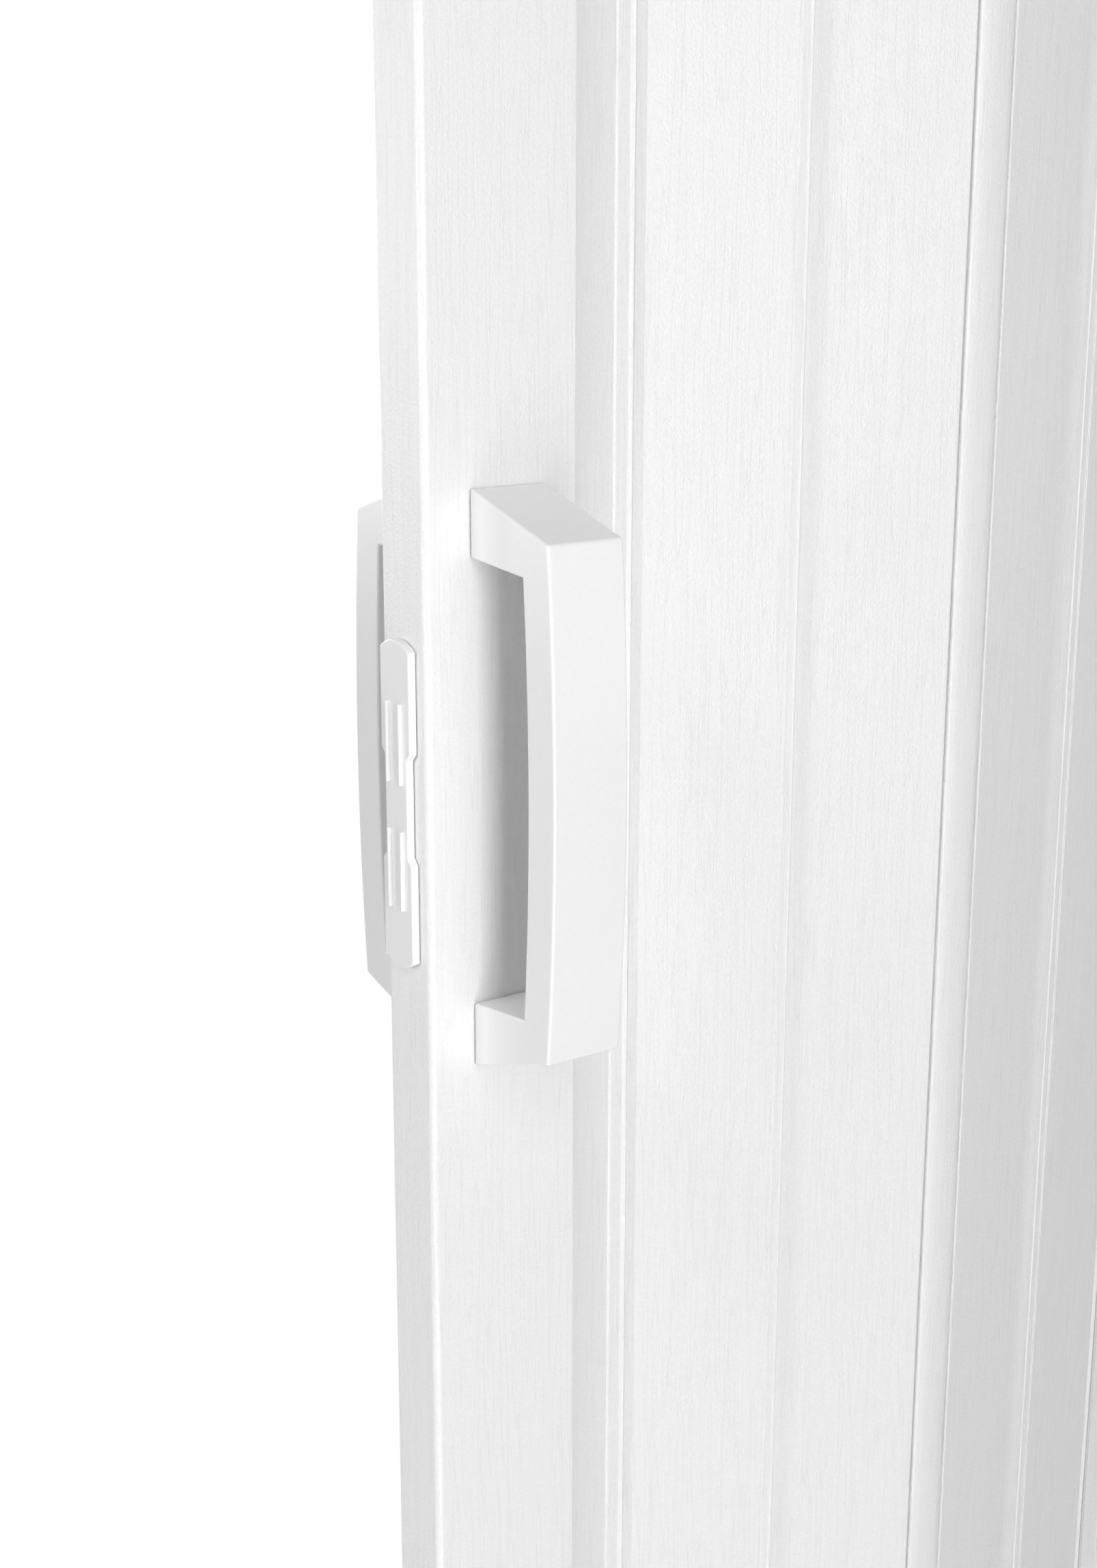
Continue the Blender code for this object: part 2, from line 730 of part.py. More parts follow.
def plate_outline():
    """Latch plate seen from the closing side: x across the post, y the height."""
    half = plate_width / 2
    side = plate_height / 2
    waist = plate_waist / 2
    slim = half - plate_waist_inset
    right = [(half, -side), (half, -waist - plate_waist_slope / 2), (slim, -waist + plate_waist_slope / 2)]
    right += [(slim, waist - plate_waist_slope / 2), (half, waist + plate_waist_slope / 2), (half, side)]
    radius = (half * half + plate_rise * plate_rise) / (2 * plate_rise)
    sweep = degrees(acos((radius - plate_rise) / radius))
    crown = arc((0.0, side + plate_rise - radius), radius, 90 - sweep, 90 + sweep, 10)[1:-1]
    half_shape = right + crown
    return half_shape + [(-x, -y) for x, y in half_shape]


def latch_plate(parent):
    base = -post_width - tail_length
    middle = handle_centre - plate_drop
    item = extrusion("latch_plate", plate_outline(), [], -plate_thickness, 0.0, gloss_plastic, parent)
    item.rotation_euler = ACROSS
    item.location = (base - gap, plate_shift, middle)
    for row in (-1, 1):
        for column in (-1, 1):
            centre_z = middle + row * (rib_gap + rib_length) / 2
            centre_y = plate_shift + column * rib_spacing / 2
            face = base - gap - plate_thickness
            low = (face - rib_height, centre_y - rib_width / 2, centre_z - rib_length / 2)
            high = (face + plate_thickness / 3, centre_y + rib_width / 2, centre_z + rib_length / 2)
            rib = box(f"rib_{row}_{column}", low, high, None, parent, cutters)
            join(item, as_cutter(rib), "UNION")
    for side in (-1, 1):
        stem = clip_box(f"clip_stem_{side}", base, side, 0.0, cutters, parent)
        join(item, as_cutter(stem), "UNION")
        centre_z = middle + side * clip_spacing / 2
        inside = base + post_wall + gap
        edge_low = centre_z + side * (clip_height / 2 - 0.001)
        edge_high = centre_z + side * (clip_height / 2 + clip_hook + gap)
        low = (inside, plate_shift - clip_width / 2, min(edge_low, edge_high))
        high = (inside + clip_hook_run / 2, plate_shift + clip_width / 2, max(edge_low, edge_high))
        hook = box(f"clip_hook_{side}", low, high, None, parent, cutters)
        join(item, as_cutter(hook), "UNION")
    return item


def wall_outline():
    """Wall profile, socket centre at the origin, wall to +X."""
    face = wall_pivot - wall_base
    half = wall_width / 2
    lip = half - wall_lip_thickness
    cove = flared_cove(0.0, wall_root_half, wall_cove_run, profile_half, 0.0, 5)
    root_first = [(face - x, y) for x, y in cove]
    front = root_first[::-1] + [(face, -lip), (face - wall_lip, -lip), (face - wall_lip, -half)]
    front += [(wall_pivot, -half)]
    socket = [(-x, -y) for x, y in strip_edge() + socket_points()]
    return socket + front + mirrored_y(front)


def wall_profile(parent):
    low = -door_height
    high = -track_height - gap
    item = extrusion("wall_profile", wall_outline(), [], low, high, embossed_pvc, parent)
    span = high - low - 2 * wall_hole_margin
    for number in range(wall_hole_count):
        hole = round_cutter(f"wall_hole_{number + 1}", wall_hole_radius, -0.01, 0.01, parent)
        hole.rotation_euler.y = pi / 2
        height = low + wall_hole_margin + span * number / (wall_hole_count - 1)
        hole.location = (wall_pivot, wall_hole_offset, height)
        join(item, hole, "DIFFERENCE", "MANIFOLD")
    stop_top = leaf_bottom - gap
    profile = [(0.0, stop_top), (bead_radius, stop_top), (bead_radius, low), (0.0, low)]
    turned("wall_hinge_stop", profile, nylon, 16, parent)


def track_outline():
    """Track section: x across the doorway, y up."""
    half = track_width / 2
    slot = track_slot / 2
    inner = half - track_wall
    low = -track_height
    right = [(slot, low + track_wall), (slot, low)] + arc((half - 0.001, low + 0.001), 0.001, 270, 360, 3)
    right += arc((half - 0.0006, -0.0006), 0.0006, 0, 90, 2)
    left = mirrored_x(right)
    inside = [(-inner, low + track_wall), (-inner, -track_wall), (inner, -track_wall), (inner, low + track_wall)]
    return right + left + inside


def top_track():
    item = extrusion("top_track", track_outline(), [], -track_end, track_end, track_enamel)
    item.rotation_euler = ACROSS
    span = 2 * (track_end - track_hole_margin)
    for number in range(track_hole_count):
        hole = round_cutter(f"track_hole_{number + 1}", track_hole_radius, -0.01, 0.01)
        hole.location.x = -track_end + track_hole_margin + span * number / (track_hole_count - 1)
        join(item, hole, "DIFFERENCE")
    for side, place in ((-1, "closing"), (1, "wall")):
        track_cap(place, side)


def track_cap(place, side):
    """A moulded cap pressed into an end of the track, its outer face at the edge of the doorway."""
    half = track_width / 2
    inner = half - track_wall - gap
    outside = side * wall_face
    seat = side * (track_end + gap)
    low = (min(seat, outside), -half, -track_height)
    high = (max(seat, outside), half, 0.0)
    item = box(f"track_cap_{place}", low, high, gloss_plastic)
    tip = side * (track_end - track_cap_plug)
    root = side * (wall_face - track_cap_plate / 2)
    low = (min(tip, root), -inner, -track_height + track_wall + gap)
    high = (max(tip, root), inner, -track_wall - gap)
    plug = box(f"cap_plug_{place}", low, high, None, None, cutters)
    join(item, as_cutter(plug), "UNION")


def build():
    top_track()
    frame = pivot("wall_axis", (wall_axis, 0, 0))
    wall_profile(frame)
    parent = frame
    x = wall_axis
    y = 0.0
    for number in range(panel_count, 0, -1):
        towards_front = number % 2 == 0
        angle = fold_rest if towards_front else -fold_rest
        parent = pivot(f"panel_{number}_pivot", (x, y, 0), angle, parent)
        panel(number, parent)
        x -= panel_fold_run
        y += -panel_fold_depth if towards_front else panel_fold_depth
        if number == 1:
            break
        strip = number - 1
        parent = pivot(f"hinge_strip_{strip}_pivot", (x, y, 0), 0.0, parent)
        hinge_strip(strip, parent, not towards_front)
        if not towards_front:
            strip_glider(strip, parent)
        x -= strip_pivots
    post = pivot("lead_post_pivot", (x, y, 0), 0.0, parent)
    lead_post(post)
    post_caps(post)
    post_gliders(post)
    handle("front_handle", post, -1)
    handle("rear_handle", post, 1)
    handle_fixings(post)
    latch_plate(post)


build()
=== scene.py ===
"""A white PVC accordion folding door on a top track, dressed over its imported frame.

Metres, +X along the track towards the wall side, -Y the front, +Z up, the origin at the
middle of the track's upper face. Every profile stands on the joint axis that carries it.
"""

import bpy
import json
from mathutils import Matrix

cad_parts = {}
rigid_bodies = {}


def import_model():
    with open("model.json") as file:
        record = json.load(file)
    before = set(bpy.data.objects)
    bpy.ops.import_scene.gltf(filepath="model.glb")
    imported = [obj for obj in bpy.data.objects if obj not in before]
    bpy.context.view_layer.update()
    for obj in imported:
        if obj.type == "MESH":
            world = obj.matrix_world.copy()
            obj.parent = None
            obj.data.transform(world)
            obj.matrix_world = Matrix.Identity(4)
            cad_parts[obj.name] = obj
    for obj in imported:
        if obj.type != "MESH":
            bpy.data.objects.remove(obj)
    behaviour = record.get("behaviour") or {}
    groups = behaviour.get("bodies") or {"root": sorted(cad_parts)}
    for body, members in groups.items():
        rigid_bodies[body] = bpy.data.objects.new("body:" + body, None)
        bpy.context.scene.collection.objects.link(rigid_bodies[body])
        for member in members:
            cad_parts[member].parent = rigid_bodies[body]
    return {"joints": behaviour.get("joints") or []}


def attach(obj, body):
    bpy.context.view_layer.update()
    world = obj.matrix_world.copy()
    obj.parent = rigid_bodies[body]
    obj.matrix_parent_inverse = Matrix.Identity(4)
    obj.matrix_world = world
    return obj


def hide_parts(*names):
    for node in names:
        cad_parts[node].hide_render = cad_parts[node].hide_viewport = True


for item in list(bpy.data.objects):
    bpy.data.objects.remove(item, do_unlink=True)
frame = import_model()

import json
import logging
from dataclasses import dataclass
from enum import Enum
from math import acos, asin, atan2, cos, degrees, hypot, pi, radians, sin
from typing import Callable, Iterable, Sequence

import bmesh
from mathutils import Matrix, Vector
from mathutils.geometry import interpolate_bezier

logging.basicConfig(level=logging.INFO, format="%(message)s")
log = logging.getLogger("folding_door")

Point = tuple[float, float]
Place = tuple[float, float, float]
Mesh = bmesh.types.BMesh
Socket = bpy.types.NodeSocket

GAP = 0.0003  # between pieces that touch
SMALL_GAP = 0.0002  # round pins and beads
SAME_PLACE = 0.000002  # points of an outline nearer than this are one
WELD = 0.000003  # merging distance of a finished outline
SEAM = 0.000001  # merging distance after a cut or joint
BEYOND = 0.01  # how far a cutting body reaches past what it cuts through
LEAF_TOP = -0.031
LEAF_BOTTOM = -2.020
DOOR_BOTTOM = -2.030
TRACK_HEIGHT = 0.028
TRACK_WALL = 0.0018
ENDS = (-1, 1)
TURN_Z_TO_Y = Matrix.Rotation(-pi / 2, 4, "X")
TURN_Z_TO_X = Matrix.Rotation(pi / 2, 4, "Y")
LAY_ALONG_X = Matrix(((0, 0, 1, 0), (1, 0, 0, 0), (0, 1, 0, 0), (0, 0, 0, 1)))


class Body(Enum):
    """The bodies of the frame that pieces ride on by a fixed name."""

    FIXED = "fixed_frame"
    POST = "post"


class Slot(Enum):
    """The record's material slots."""

    PVC = "embossed_white_pvc"
    GLOSS = "gloss_white_plastic"
    ENAMEL = "white_enamelled_track"
    NYLON = "natural_nylon"
    ZINC = "zinc_plated_steel"
    BRASS = "turned_brass"


class Face(Enum):
    """The two faces of the door; the value is the side of Y."""

    FRONT = -1
    REAR = 1


def linear(code: str) -> tuple[float, float, float, float]:
    """Turns an sRGB hex colour to linear.

    Args:
        code: six hex digits.

    Returns:
        Linear red, green, blue and an alpha of 1.
    """
    channels = [int(code[place : place + 2], 16) / 255 for place in (0, 2, 4)]
    flat = [c / 12.92 if c <= 0.04045 else ((c + 0.055) / 1.055) ** 2.4 for c in channels]
    return (*flat, 1.0)


def add_node(
    tree: bpy.types.NodeTree, kind: str, settings: dict | None = None, **links: Socket
) -> bpy.types.Node:
    """Adds one shader node.

    Args:
        tree: the node tree.
        kind: Blender's node type, less its ShaderNode.
        settings: properties, or values of inputs by their name or number.
        links: input name (underscores for spaces, or i and its number) to an output socket.

    Returns:
        The new node.
    """
    node = tree.nodes.new(f"ShaderNode{kind}")
    for name, value in (settings or {}).items():
        if isinstance(name, str) and hasattr(node, name):
            setattr(node, name, value)
        else:
            node.inputs[name].default_value = value
    for name, socket in links.items():
        numbered = name[0] == "i" and name[1:].isdigit()
        key = int(name[1:]) if numbered else name.replace("_", " ")
        tree.links.new(socket, node.inputs[key])
    return node


@dataclass(frozen=True)
class Finish:
    """A surface finish: its slot, colour and how it takes light."""

    slot: Slot
    colour: str
    roughness: float
    roughness_swing: float
    colour_swing: float
    ior: float = 1.5
    metallic: float = 0.0


class Shading:
    """One material in the making, with patterns whose grains have a real size."""

    def __init__(self, finish: Finish) -> None:
        """Starts the material with its uniform values.

        Args:
            finish: the finish that it is for.
        """
        self.finish = finish
        self.material = bpy.data.materials.new(finish.slot.value)
        self.material.use_nodes = True
        self.material.diffuse_color = linear(finish.colour)
        self.tree = self.material.node_tree
        self.shader = self.tree.nodes["Principled BSDF"]
        self.shader.inputs["Metallic"].default_value = finish.metallic
        if not finish.metallic:
            self.shader.inputs["IOR"].default_value = finish.ior
        self.where = add_node(self.tree, "TexCoord").outputs["Object"]

    def clouds(self, size_mm: Sequence[float], detail: float) -> Socket:
        """Adds a cloud pattern.

        Args:
            size_mm: the grain's size along X, Y and Z in millimetres.
            detail: octaves of finer grain.

        Returns:
            The pattern's output.
        """
        scale = tuple(1000.0 / size for size in size_mm)
        placed = add_node(self.tree, "Mapping", {"Scale": scale}, Vector=self.where)
        grain = {"Scale": 1.0, "Detail": detail, "Roughness": 0.6}
        return add_node(self.tree, "TexNoise", grain, Vector=placed.outputs[0]).outputs[0]

    def vary(self, pattern: Socket) -> None:
        """Lets a 0 to 1 pattern move the colour and the roughness a little.

        Args:
            pattern: the pattern's output.
        """
        light = linear(self.finish.colour)
        dark = tuple(c * (1 - self.finish.colour_swing) for c in light[:3]) + (1.0,)
        tint = add_node(self.tree, "Mix", {"data_type": "RGBA", 6: dark, 7: light}, i0=pattern)
        self.tree.links.new(tint.outputs[2], self.shader.inputs["Base Color"])
        middle, swing = self.finish.roughness, self.finish.roughness_swing
        ends = {"To Min": middle + swing, "To Max": middle - swing}
        span = add_node(self.tree, "MapRange", ends, Value=pattern)
        self.tree.links.new(span.outputs[0], self.shader.inputs["Roughness"])

    def bump(self, *layers: tuple[Socket, float, float]) -> None:
        """Stacks bump layers.

        Args:
            layers: pattern, strength and height in millimetres of each layer.
        """
        below = {}
        for pattern, strength, height_mm in layers:
            height = {"Strength": strength, "Distance": height_mm / 1000}
            node = add_node(self.tree, "Bump", height, Height=pattern, **below)
            below = {"Normal": node.outputs[0]}
        self.tree.links.new(below["Normal"], self.shader.inputs["Normal"])


@dataclass(frozen=True)
class EmbossedPvc(Finish):
    """Extruded rigid PVC passed under an embossing roller: fine upright pores, a soft sheen."""

    pore_mm: Place = (0.55, 0.55, 26.0)  # the real 0.3 mm wide ones would be too fine to show
    pore_contrast: Point = (0.38, 0.62)
    pebble_mm: float = 1.0
    pebble_contrast: Point = (0.30, 0.70)
    scratch_mm: Place = (3.2, 3.2, 75.0)
    scratch_width: float = 0.03
    swell_mm: Place = (5.0, 5.0, 180.0)
    pore_share: float = 0.45
    pebble_share: float = 0.35
    swell_bump: Point = (0.15, 0.10)  # strength, and height in millimetres
    pore_bump: Point = (0.30, 0.05)
    scratch_bump: Point = (0.8, 0.06)
    pebble_bump: Point = (1.0, 0.25)

    def draw(self, work: Shading) -> None:
        """Draws the pores, the roller's scratches and pebbles, and the sheet's slow swell.

        Args:
            work: the material.
        """
        swell, pebble = work.clouds(self.swell_mm, 2.0), work.clouds((self.pebble_mm,) * 3, 2.0)
        sharp, grit = (
            add_node(work.tree, "MapRange", {"From Min": low, "From Max": high}, Value=pattern)
            for pattern, (low, high) in (
                (work.clouds(self.pore_mm, 3.0), self.pore_contrast),
                (pebble, self.pebble_contrast),
            )
        )
        scratch = self.scratch(work)
        pores = sharp.outputs[0]
        shade = scratch
        for pattern, share in ((pores, self.pore_share), (grit.outputs[0], self.pebble_share)):
            mixed = {"data_type": "FLOAT", 0: share}
            shade = add_node(work.tree, "Mix", mixed, i2=shade, i3=pattern).outputs[0]
        work.vary(shade)
        work.bump(
            (swell, *self.swell_bump), (pores, *self.pore_bump),
            (scratch, *self.scratch_bump), (pebble, *self.pebble_bump),
        )

    def scratch(self, work: Shading) -> Socket:
        """Draws the hair-thin upright lines along which a pattern crosses its middle value.

        Args:
            work: the material.

        Returns:
            The output that is 0 on a line and 1 away from it.
        """
        pattern = work.clouds(self.scratch_mm, 1.0)
        less = add_node(work.tree, "Math", {"operation": "SUBTRACT", 1: 0.5}, i0=pattern)
        apart = add_node(work.tree, "Math", {"operation": "ABSOLUTE"}, i0=less.outputs[0])
        width = {"From Max": self.scratch_width}
        return add_node(work.tree, "MapRange", width, Value=apart.outputs[0]).outputs[0]


@dataclass(frozen=True)
class MouldedAbs(Finish):
    """Injection-moulded ABS: glossy, with faint flow waves and the mould's fine grit."""

    wave_mm: Place = (22.0, 22.0, 30.0)
    grit_mm: float = 0.7  # the real 0.2 mm would be too fine to show
    grit_contrast: Point = (0.30, 0.70)
    wave_bump: Point = (0.12, 0.25)
    grit_bump: Point = (0.5, 0.03)

    def draw(self, work: Shading) -> None:
        """Draws the waves and the grit.

        Args:
            work: the material.
        """
        waves, grit = work.clouds(self.wave_mm, 1.0), work.clouds((self.grit_mm,) * 3, 1.0)
        ends = {"From Min": self.grit_contrast[0], "From Max": self.grit_contrast[1]}
        work.vary(add_node(work.tree, "MapRange", ends, Value=grit).outputs[0])
        work.bump((waves, *self.wave_bump), (grit, *self.grit_bump))


@dataclass(frozen=True)
class Enamel(Finish):
    """Stove enamel sprayed on extruded aluminium: satin, with a slight orange peel."""

    cloud_mm: Place = (40.0, 9.0, 9.0)
    peel_mm: float = 1.4
    peel_bump: Point = (0.16, 0.03)

    def draw(self, work: Shading) -> None:
        """Draws long faint clouds and the peel."""
        work.vary(work.clouds(self.cloud_mm, 3.0))
        work.bump((work.clouds((self.peel_mm,) * 3, 1.0), *self.peel_bump))


@dataclass(frozen=True)
class Nylon(Finish):
    """Moulded natural nylon: off-white, dull and a little cloudy."""

    cloud_mm: float = 3.0
    grit_mm: float = 0.3
    grit_bump: Point = (0.2, 0.02)

    def draw(self, work: Shading) -> None:
        """Draws the clouds and the grit."""
        work.vary(work.clouds((self.cloud_mm,) * 3, 3.0))
        work.bump((work.clouds((self.grit_mm,) * 3, 1.0), *self.grit_bump))


@dataclass(frozen=True)
class PlatedSteel(Finish):
    """Zinc plate on steel: bright blue-grey with a spangled, slightly uneven shine."""

    spangle_mm: float = 1.2
    spangle_bump: Point = (0.1, 0.01)

    def draw(self, work: Shading) -> None:
        """Draws the spangle."""
        spangle = work.clouds((self.spangle_mm,) * 3, 4.0)
        work.vary(spangle)
        work.bump((spangle, *self.spangle_bump))


@dataclass(frozen=True)
class TurnedBrass(Finish):
    """Brass turned on a lathe: warm metal with fine tool lines round its axis, along Y."""

    line_mm: Place = (60.0, 0.12, 60.0)
    line_bump: Point = (0.25, 0.01)

    def draw(self, work: Shading) -> None:
        """Draws the tool lines."""
        lines = work.clouds(self.line_mm, 1.0)
        work.vary(lines)
        work.bump((lines, *self.line_bump))


def make_finishes() -> dict[Slot, bpy.types.Material]:
    """Makes every finish of the door.

    Returns:
        The material of each slot.
    """
    made = {}
    for finish in (
        EmbossedPvc(Slot.PVC, "F3F3F3", 0.38, 0.06, 0.10, ior=1.53),
        MouldedAbs(Slot.GLOSS, "F2F2F2", 0.20, 0.02, 0.03, ior=1.53),
        Enamel(Slot.ENAMEL, "EBEBEB", 0.32, 0.04, 0.012),
        Nylon(Slot.NYLON, "DEDCD2", 0.5, 0.06, 0.05, ior=1.53),
        PlatedSteel(Slot.ZINC, "CDCFD2", 0.28, 0.08, 0.12, metallic=1.0),
        TurnedBrass(Slot.BRASS, "DCC087", 0.3, 0.06, 0.1, metallic=1.0),
    ):
        work = Shading(finish)
        finish.draw(work)
        made[finish.slot] = work.material
    return made


def points_in(geometry: Iterable) -> list[bmesh.types.BMVert]:
    """The points among an operator's results."""
    return [item for item in geometry if isinstance(item, bmesh.types.BMVert)]


class Pen:
    """Draws closed outlines in the XY plane with bmesh operators, then gives them depth."""

    def __init__(self) -> None:
        """Starts with an empty mesh."""
        self.work = bmesh.new()
        self.tip: bmesh.types.BMVert | None = None
        self.frame()

    def frame(self, flip: tuple[int, int] = (1, 1), shift: Point = (0.0, 0.0)) -> "Pen":
        """Sets the flip and shift of what is drawn next."""
        self.flip, self.shift = flip, shift
        return self

    def at(self, x: float, y: float) -> Vector:
        """The drawn place of a point, after the pen's flip and shift."""
        return Vector((self.flip[0] * x + self.shift[0], self.flip[1] * y + self.shift[1], 0.0))

    def move(self, x: float, y: float) -> "Pen":
        """Starts a stroke."""
        self.tip = bmesh.ops.create_vert(self.work, co=self.at(x, y))["vert"][0]
        return self

    def step(self, place: Vector) -> None:
        """Draws one straight stroke to a drawn place."""
        self.tip = bmesh.ops.extrude_vert_indiv(self.work, verts=[self.tip])["verts"][0]
        self.tip.co = place

    def line(self, *points: Point) -> "Pen":
        """Draws straight lines from point to point.

        Args:
            points: X and Y of each; one that the tip is on already is passed over.

        Returns:
            The pen.
        """
        for point in points:
            place = self.at(*point)
            if (place - self.tip.co).length >= SAME_PLACE:
                self.step(place)
        return self

    def arc(self, centre: Point, sweep: float, facet: float) -> "Pen":
        """Turns the tip round a centre, in three steps or more.

        Args:
            centre: the arc's centre.
            sweep: degrees, counter-clockwise when positive and the pen isn't flipped.
            facet: the widest angle of one step, in degrees.

        Returns:
            The pen.
        """
        steps = max(3, int(abs(sweep) / facet + 0.999))
        turn = radians(sweep) * self.flip[0] * self.flip[1]
        made = bmesh.ops.spin(
            self.work, geom=[self.tip], cent=self.at(*centre), axis=(0, 0, 1), dvec=(0, 0, 0),
            angle=turn, steps=steps, use_merge=False, use_normal_flip=False, use_duplicate=False,
        )
        self.tip = points_in(made["geom_last"])[0]
        return self

    def curve(self, first: Point, second: Point, end: Point, steps: int = 7) -> "Pen":
        """Draws a smooth curve from the tip.

        Args:
            first: the handle that pulls its start.
            second: the handle that pulls its end.
            end: where it ends.
            steps: its straight pieces.

        Returns:
            The pen.
        """
        handles = self.at(*first), self.at(*second), self.at(*end)
        for place in interpolate_bezier(self.tip.co, *handles, steps + 1)[1:]:
            self.step(place)
        return self

    def circle(self, radius: float, segments: int) -> "Pen":
        """Adds a round hole round the origin."""
        bmesh.ops.create_circle(self.work, cap_ends=False, segments=segments, radius=radius)
        return self

    def rounded(self, centre: Point, width: float, height: float, radius: float) -> "Pen":
        """Adds a rectangle with rounded corners.

        Args:
            centre: its middle.
            width: its size along X.
            height: its size along Y.
            radius: of the corners.

        Returns:
            The pen.
        """
        x, y = width / 2 - radius, height / 2 - radius
        right = centre[0] + width / 2
        self.move(right, centre[1] - y).line((right, centre[1] + y))
        for side_x, side_y, far in (
            (1, 1, (-x, y + radius)),
            (-1, 1, (-x - radius, -y)),
            (-1, -1, (x, -y - radius)),
            (1, -1, None),
        ):
            self.arc((centre[0] + side_x * x, centre[1] + side_y * y), 90, 15)
            if far:
                self.line((centre[0] + far[0], centre[1] + far[1]))
        return self

    def crown(self, radius: float, top: float, edge: float) -> "Pen":
        """Starts a turned profile on its axis: a flat top with a rounded edge."""
        self.move(0.0, top).line((radius - edge, top))
        return self.arc((radius - edge, top - edge), -90, 30)

    def repeat_turned(self) -> "Pen":
        """Adds a copy of everything drawn, turned half a turn about the origin.

        Returns:
            The pen.
        """
        drawn = self.work.verts[:] + self.work.edges[:]
        copy = points_in(bmesh.ops.duplicate(self.work, geom=drawn)["geom"])
        half_turn = Matrix.Rotation(pi, 3, "Z")
        bmesh.ops.rotate(self.work, verts=copy, cent=(0, 0, 0), matrix=half_turn)
        return self

    def repeat_mirrored(self, axis: str) -> "Pen":
        """Adds a mirrored copy of everything drawn.

        Args:
            axis: X or Y, the coordinate that changes sign.

        Returns:
            The pen.
        """
        drawn = self.work.verts[:] + self.work.edges[:]
        bmesh.ops.mirror(
            self.work, geom=drawn, matrix=Matrix.Identity(4), merge_dist=SAME_PLACE, axis=axis
        )
        return self

    def extrude(self, low: float, high: float) -> Mesh:
        """Fills the outlines, less their holes, and runs them along Z.

        Args:
            low: the lower end.
            high: the upper end.

        Returns:
            The closed body.
        """
        work = self.work
        bmesh.ops.remove_doubles(work, verts=work.verts, dist=WELD)
        bmesh.ops.triangle_fill(work, use_beauty=True, use_dissolve=False, edges=work.edges)
        bmesh.ops.translate(work, verts=work.verts, vec=(0, 0, low))
        made = bmesh.ops.extrude_face_region(work, geom=work.faces[:], use_keep_orig=True)
        bmesh.ops.translate(work, verts=points_in(made["geom"]), vec=(0, 0, high - low))
        level = [e for e in work.edges if abs(e.verts[0].co.z - e.verts[1].co.z) < 0.0000001]
        bmesh.ops.dissolve_limit(
            work, angle_limit=0.0005, verts=[], edges=level, use_dissolve_boundaries=False,
            delimit=set(),
        )
        bmesh.ops.recalc_face_normals(work, faces=work.faces)
        return work

    def turn(self, steps: int) -> Mesh:
        """Turns a profile of (radius, height) points about Z.

        Args:
            steps: facets of the full turn.

        Returns:
            The closed body.
        """
        work = self.work
        upright = Matrix.Rotation(pi / 2, 3, "X")
        bmesh.ops.rotate(work, verts=work.verts, cent=(0, 0, 0), matrix=upright)
        bmesh.ops.spin(
            work, geom=work.verts[:] + work.edges[:], cent=(0, 0, 0), axis=(0, 0, 1),
            dvec=(0, 0, 0), angle=2 * pi, steps=steps, use_merge=True, use_normal_flip=False,
            use_duplicate=False,
        )
        bmesh.ops.remove_doubles(work, verts=work.verts, dist=WELD)
        bmesh.ops.dissolve_degenerate(work, dist=SEAM, edges=work.edges)
        bmesh.ops.recalc_face_normals(work, faces=work.faces)
        return work


def put(work: Mesh, matrix: Matrix) -> Mesh:
    """Moves, turns or mirrors a body, and leaves its faces pointing outwards."""
    bmesh.ops.transform(work, matrix=matrix, verts=work.verts)
    bmesh.ops.recalc_face_normals(work, faces=work.faces)
    return work


def block(low: Place, high: Place) -> Mesh:
    """A rectangular body between two corners, to be joined, cut or bevelled.

    Args:
        low: its lowest corner.
        high: its highest corner.

    Returns:
        The body.
    """
    work = bmesh.new()
    bmesh.ops.create_cube(work, size=1.0)
    bmesh.ops.scale(work, vec=[b - a for a, b in zip(low, high)], verts=work.verts)
    middle = [(a + b) / 2 for a, b in zip(low, high)]
    bmesh.ops.translate(work, vec=middle, verts=work.verts)
    return work


def rod(radius: float, low: float, high: float, steps: int, place: Matrix = Matrix()) -> Mesh:
    """A round body on the Z axis, then put in its place, to be joined or cut."""
    pen = Pen().move(0.0, low).line((radius, low), (radius, high), (0.0, high))
    return put(pen.turn(steps), place)


def spread(low: float, high: float, margin: float, count: int) -> list[float]:
    """Even places between two ends, the outer ones a margin inside them."""
    step = (high - low - 2 * margin) / (count - 1)
    return [low + margin + step * number for number in range(count)]


def ease(
    work: Mesh, offset: float, segments: int = 2, least: float = 60.0,
    keep: Callable[[bmesh.types.BMEdge], bool] | None = None,
) -> Mesh:
    """Rounds the sharp edges of a body.

    Args:
        work: the body.
        offset: the bevel's width.
        segments: its facets.
        least: the smallest angle, in degrees, that counts as an edge.
        keep: a test that says whether an edge is rounded.

    Returns:
        The same body.
    """
    edges = [
        edge
        for edge in work.edges
        if len(edge.link_faces) == 2
        and degrees(edge.calc_face_angle(0)) > least
        and (keep is None or keep(edge))
    ]
    bmesh.ops.bevel(
        work, geom=edges, offset=offset, offset_type="OFFSET", segments=segments, profile=0.5,
        affect="EDGES", material=-1, clamp_overlap=True,
    )
    bmesh.ops.recalc_face_normals(work, faces=work.faces)
    return work


def temporary(work: Mesh) -> bpy.types.Object:
    """Puts a body in the scene for as long as a cut or joint needs it.

    Args:
        work: the body; it is used up.

    Returns:
        Its object.
    """
    mesh = bpy.data.meshes.new("work")
    work.to_mesh(mesh)
    work.free()
    item = bpy.data.objects.new("work", mesh)
    bpy.context.scene.collection.objects.link(item)
    return item


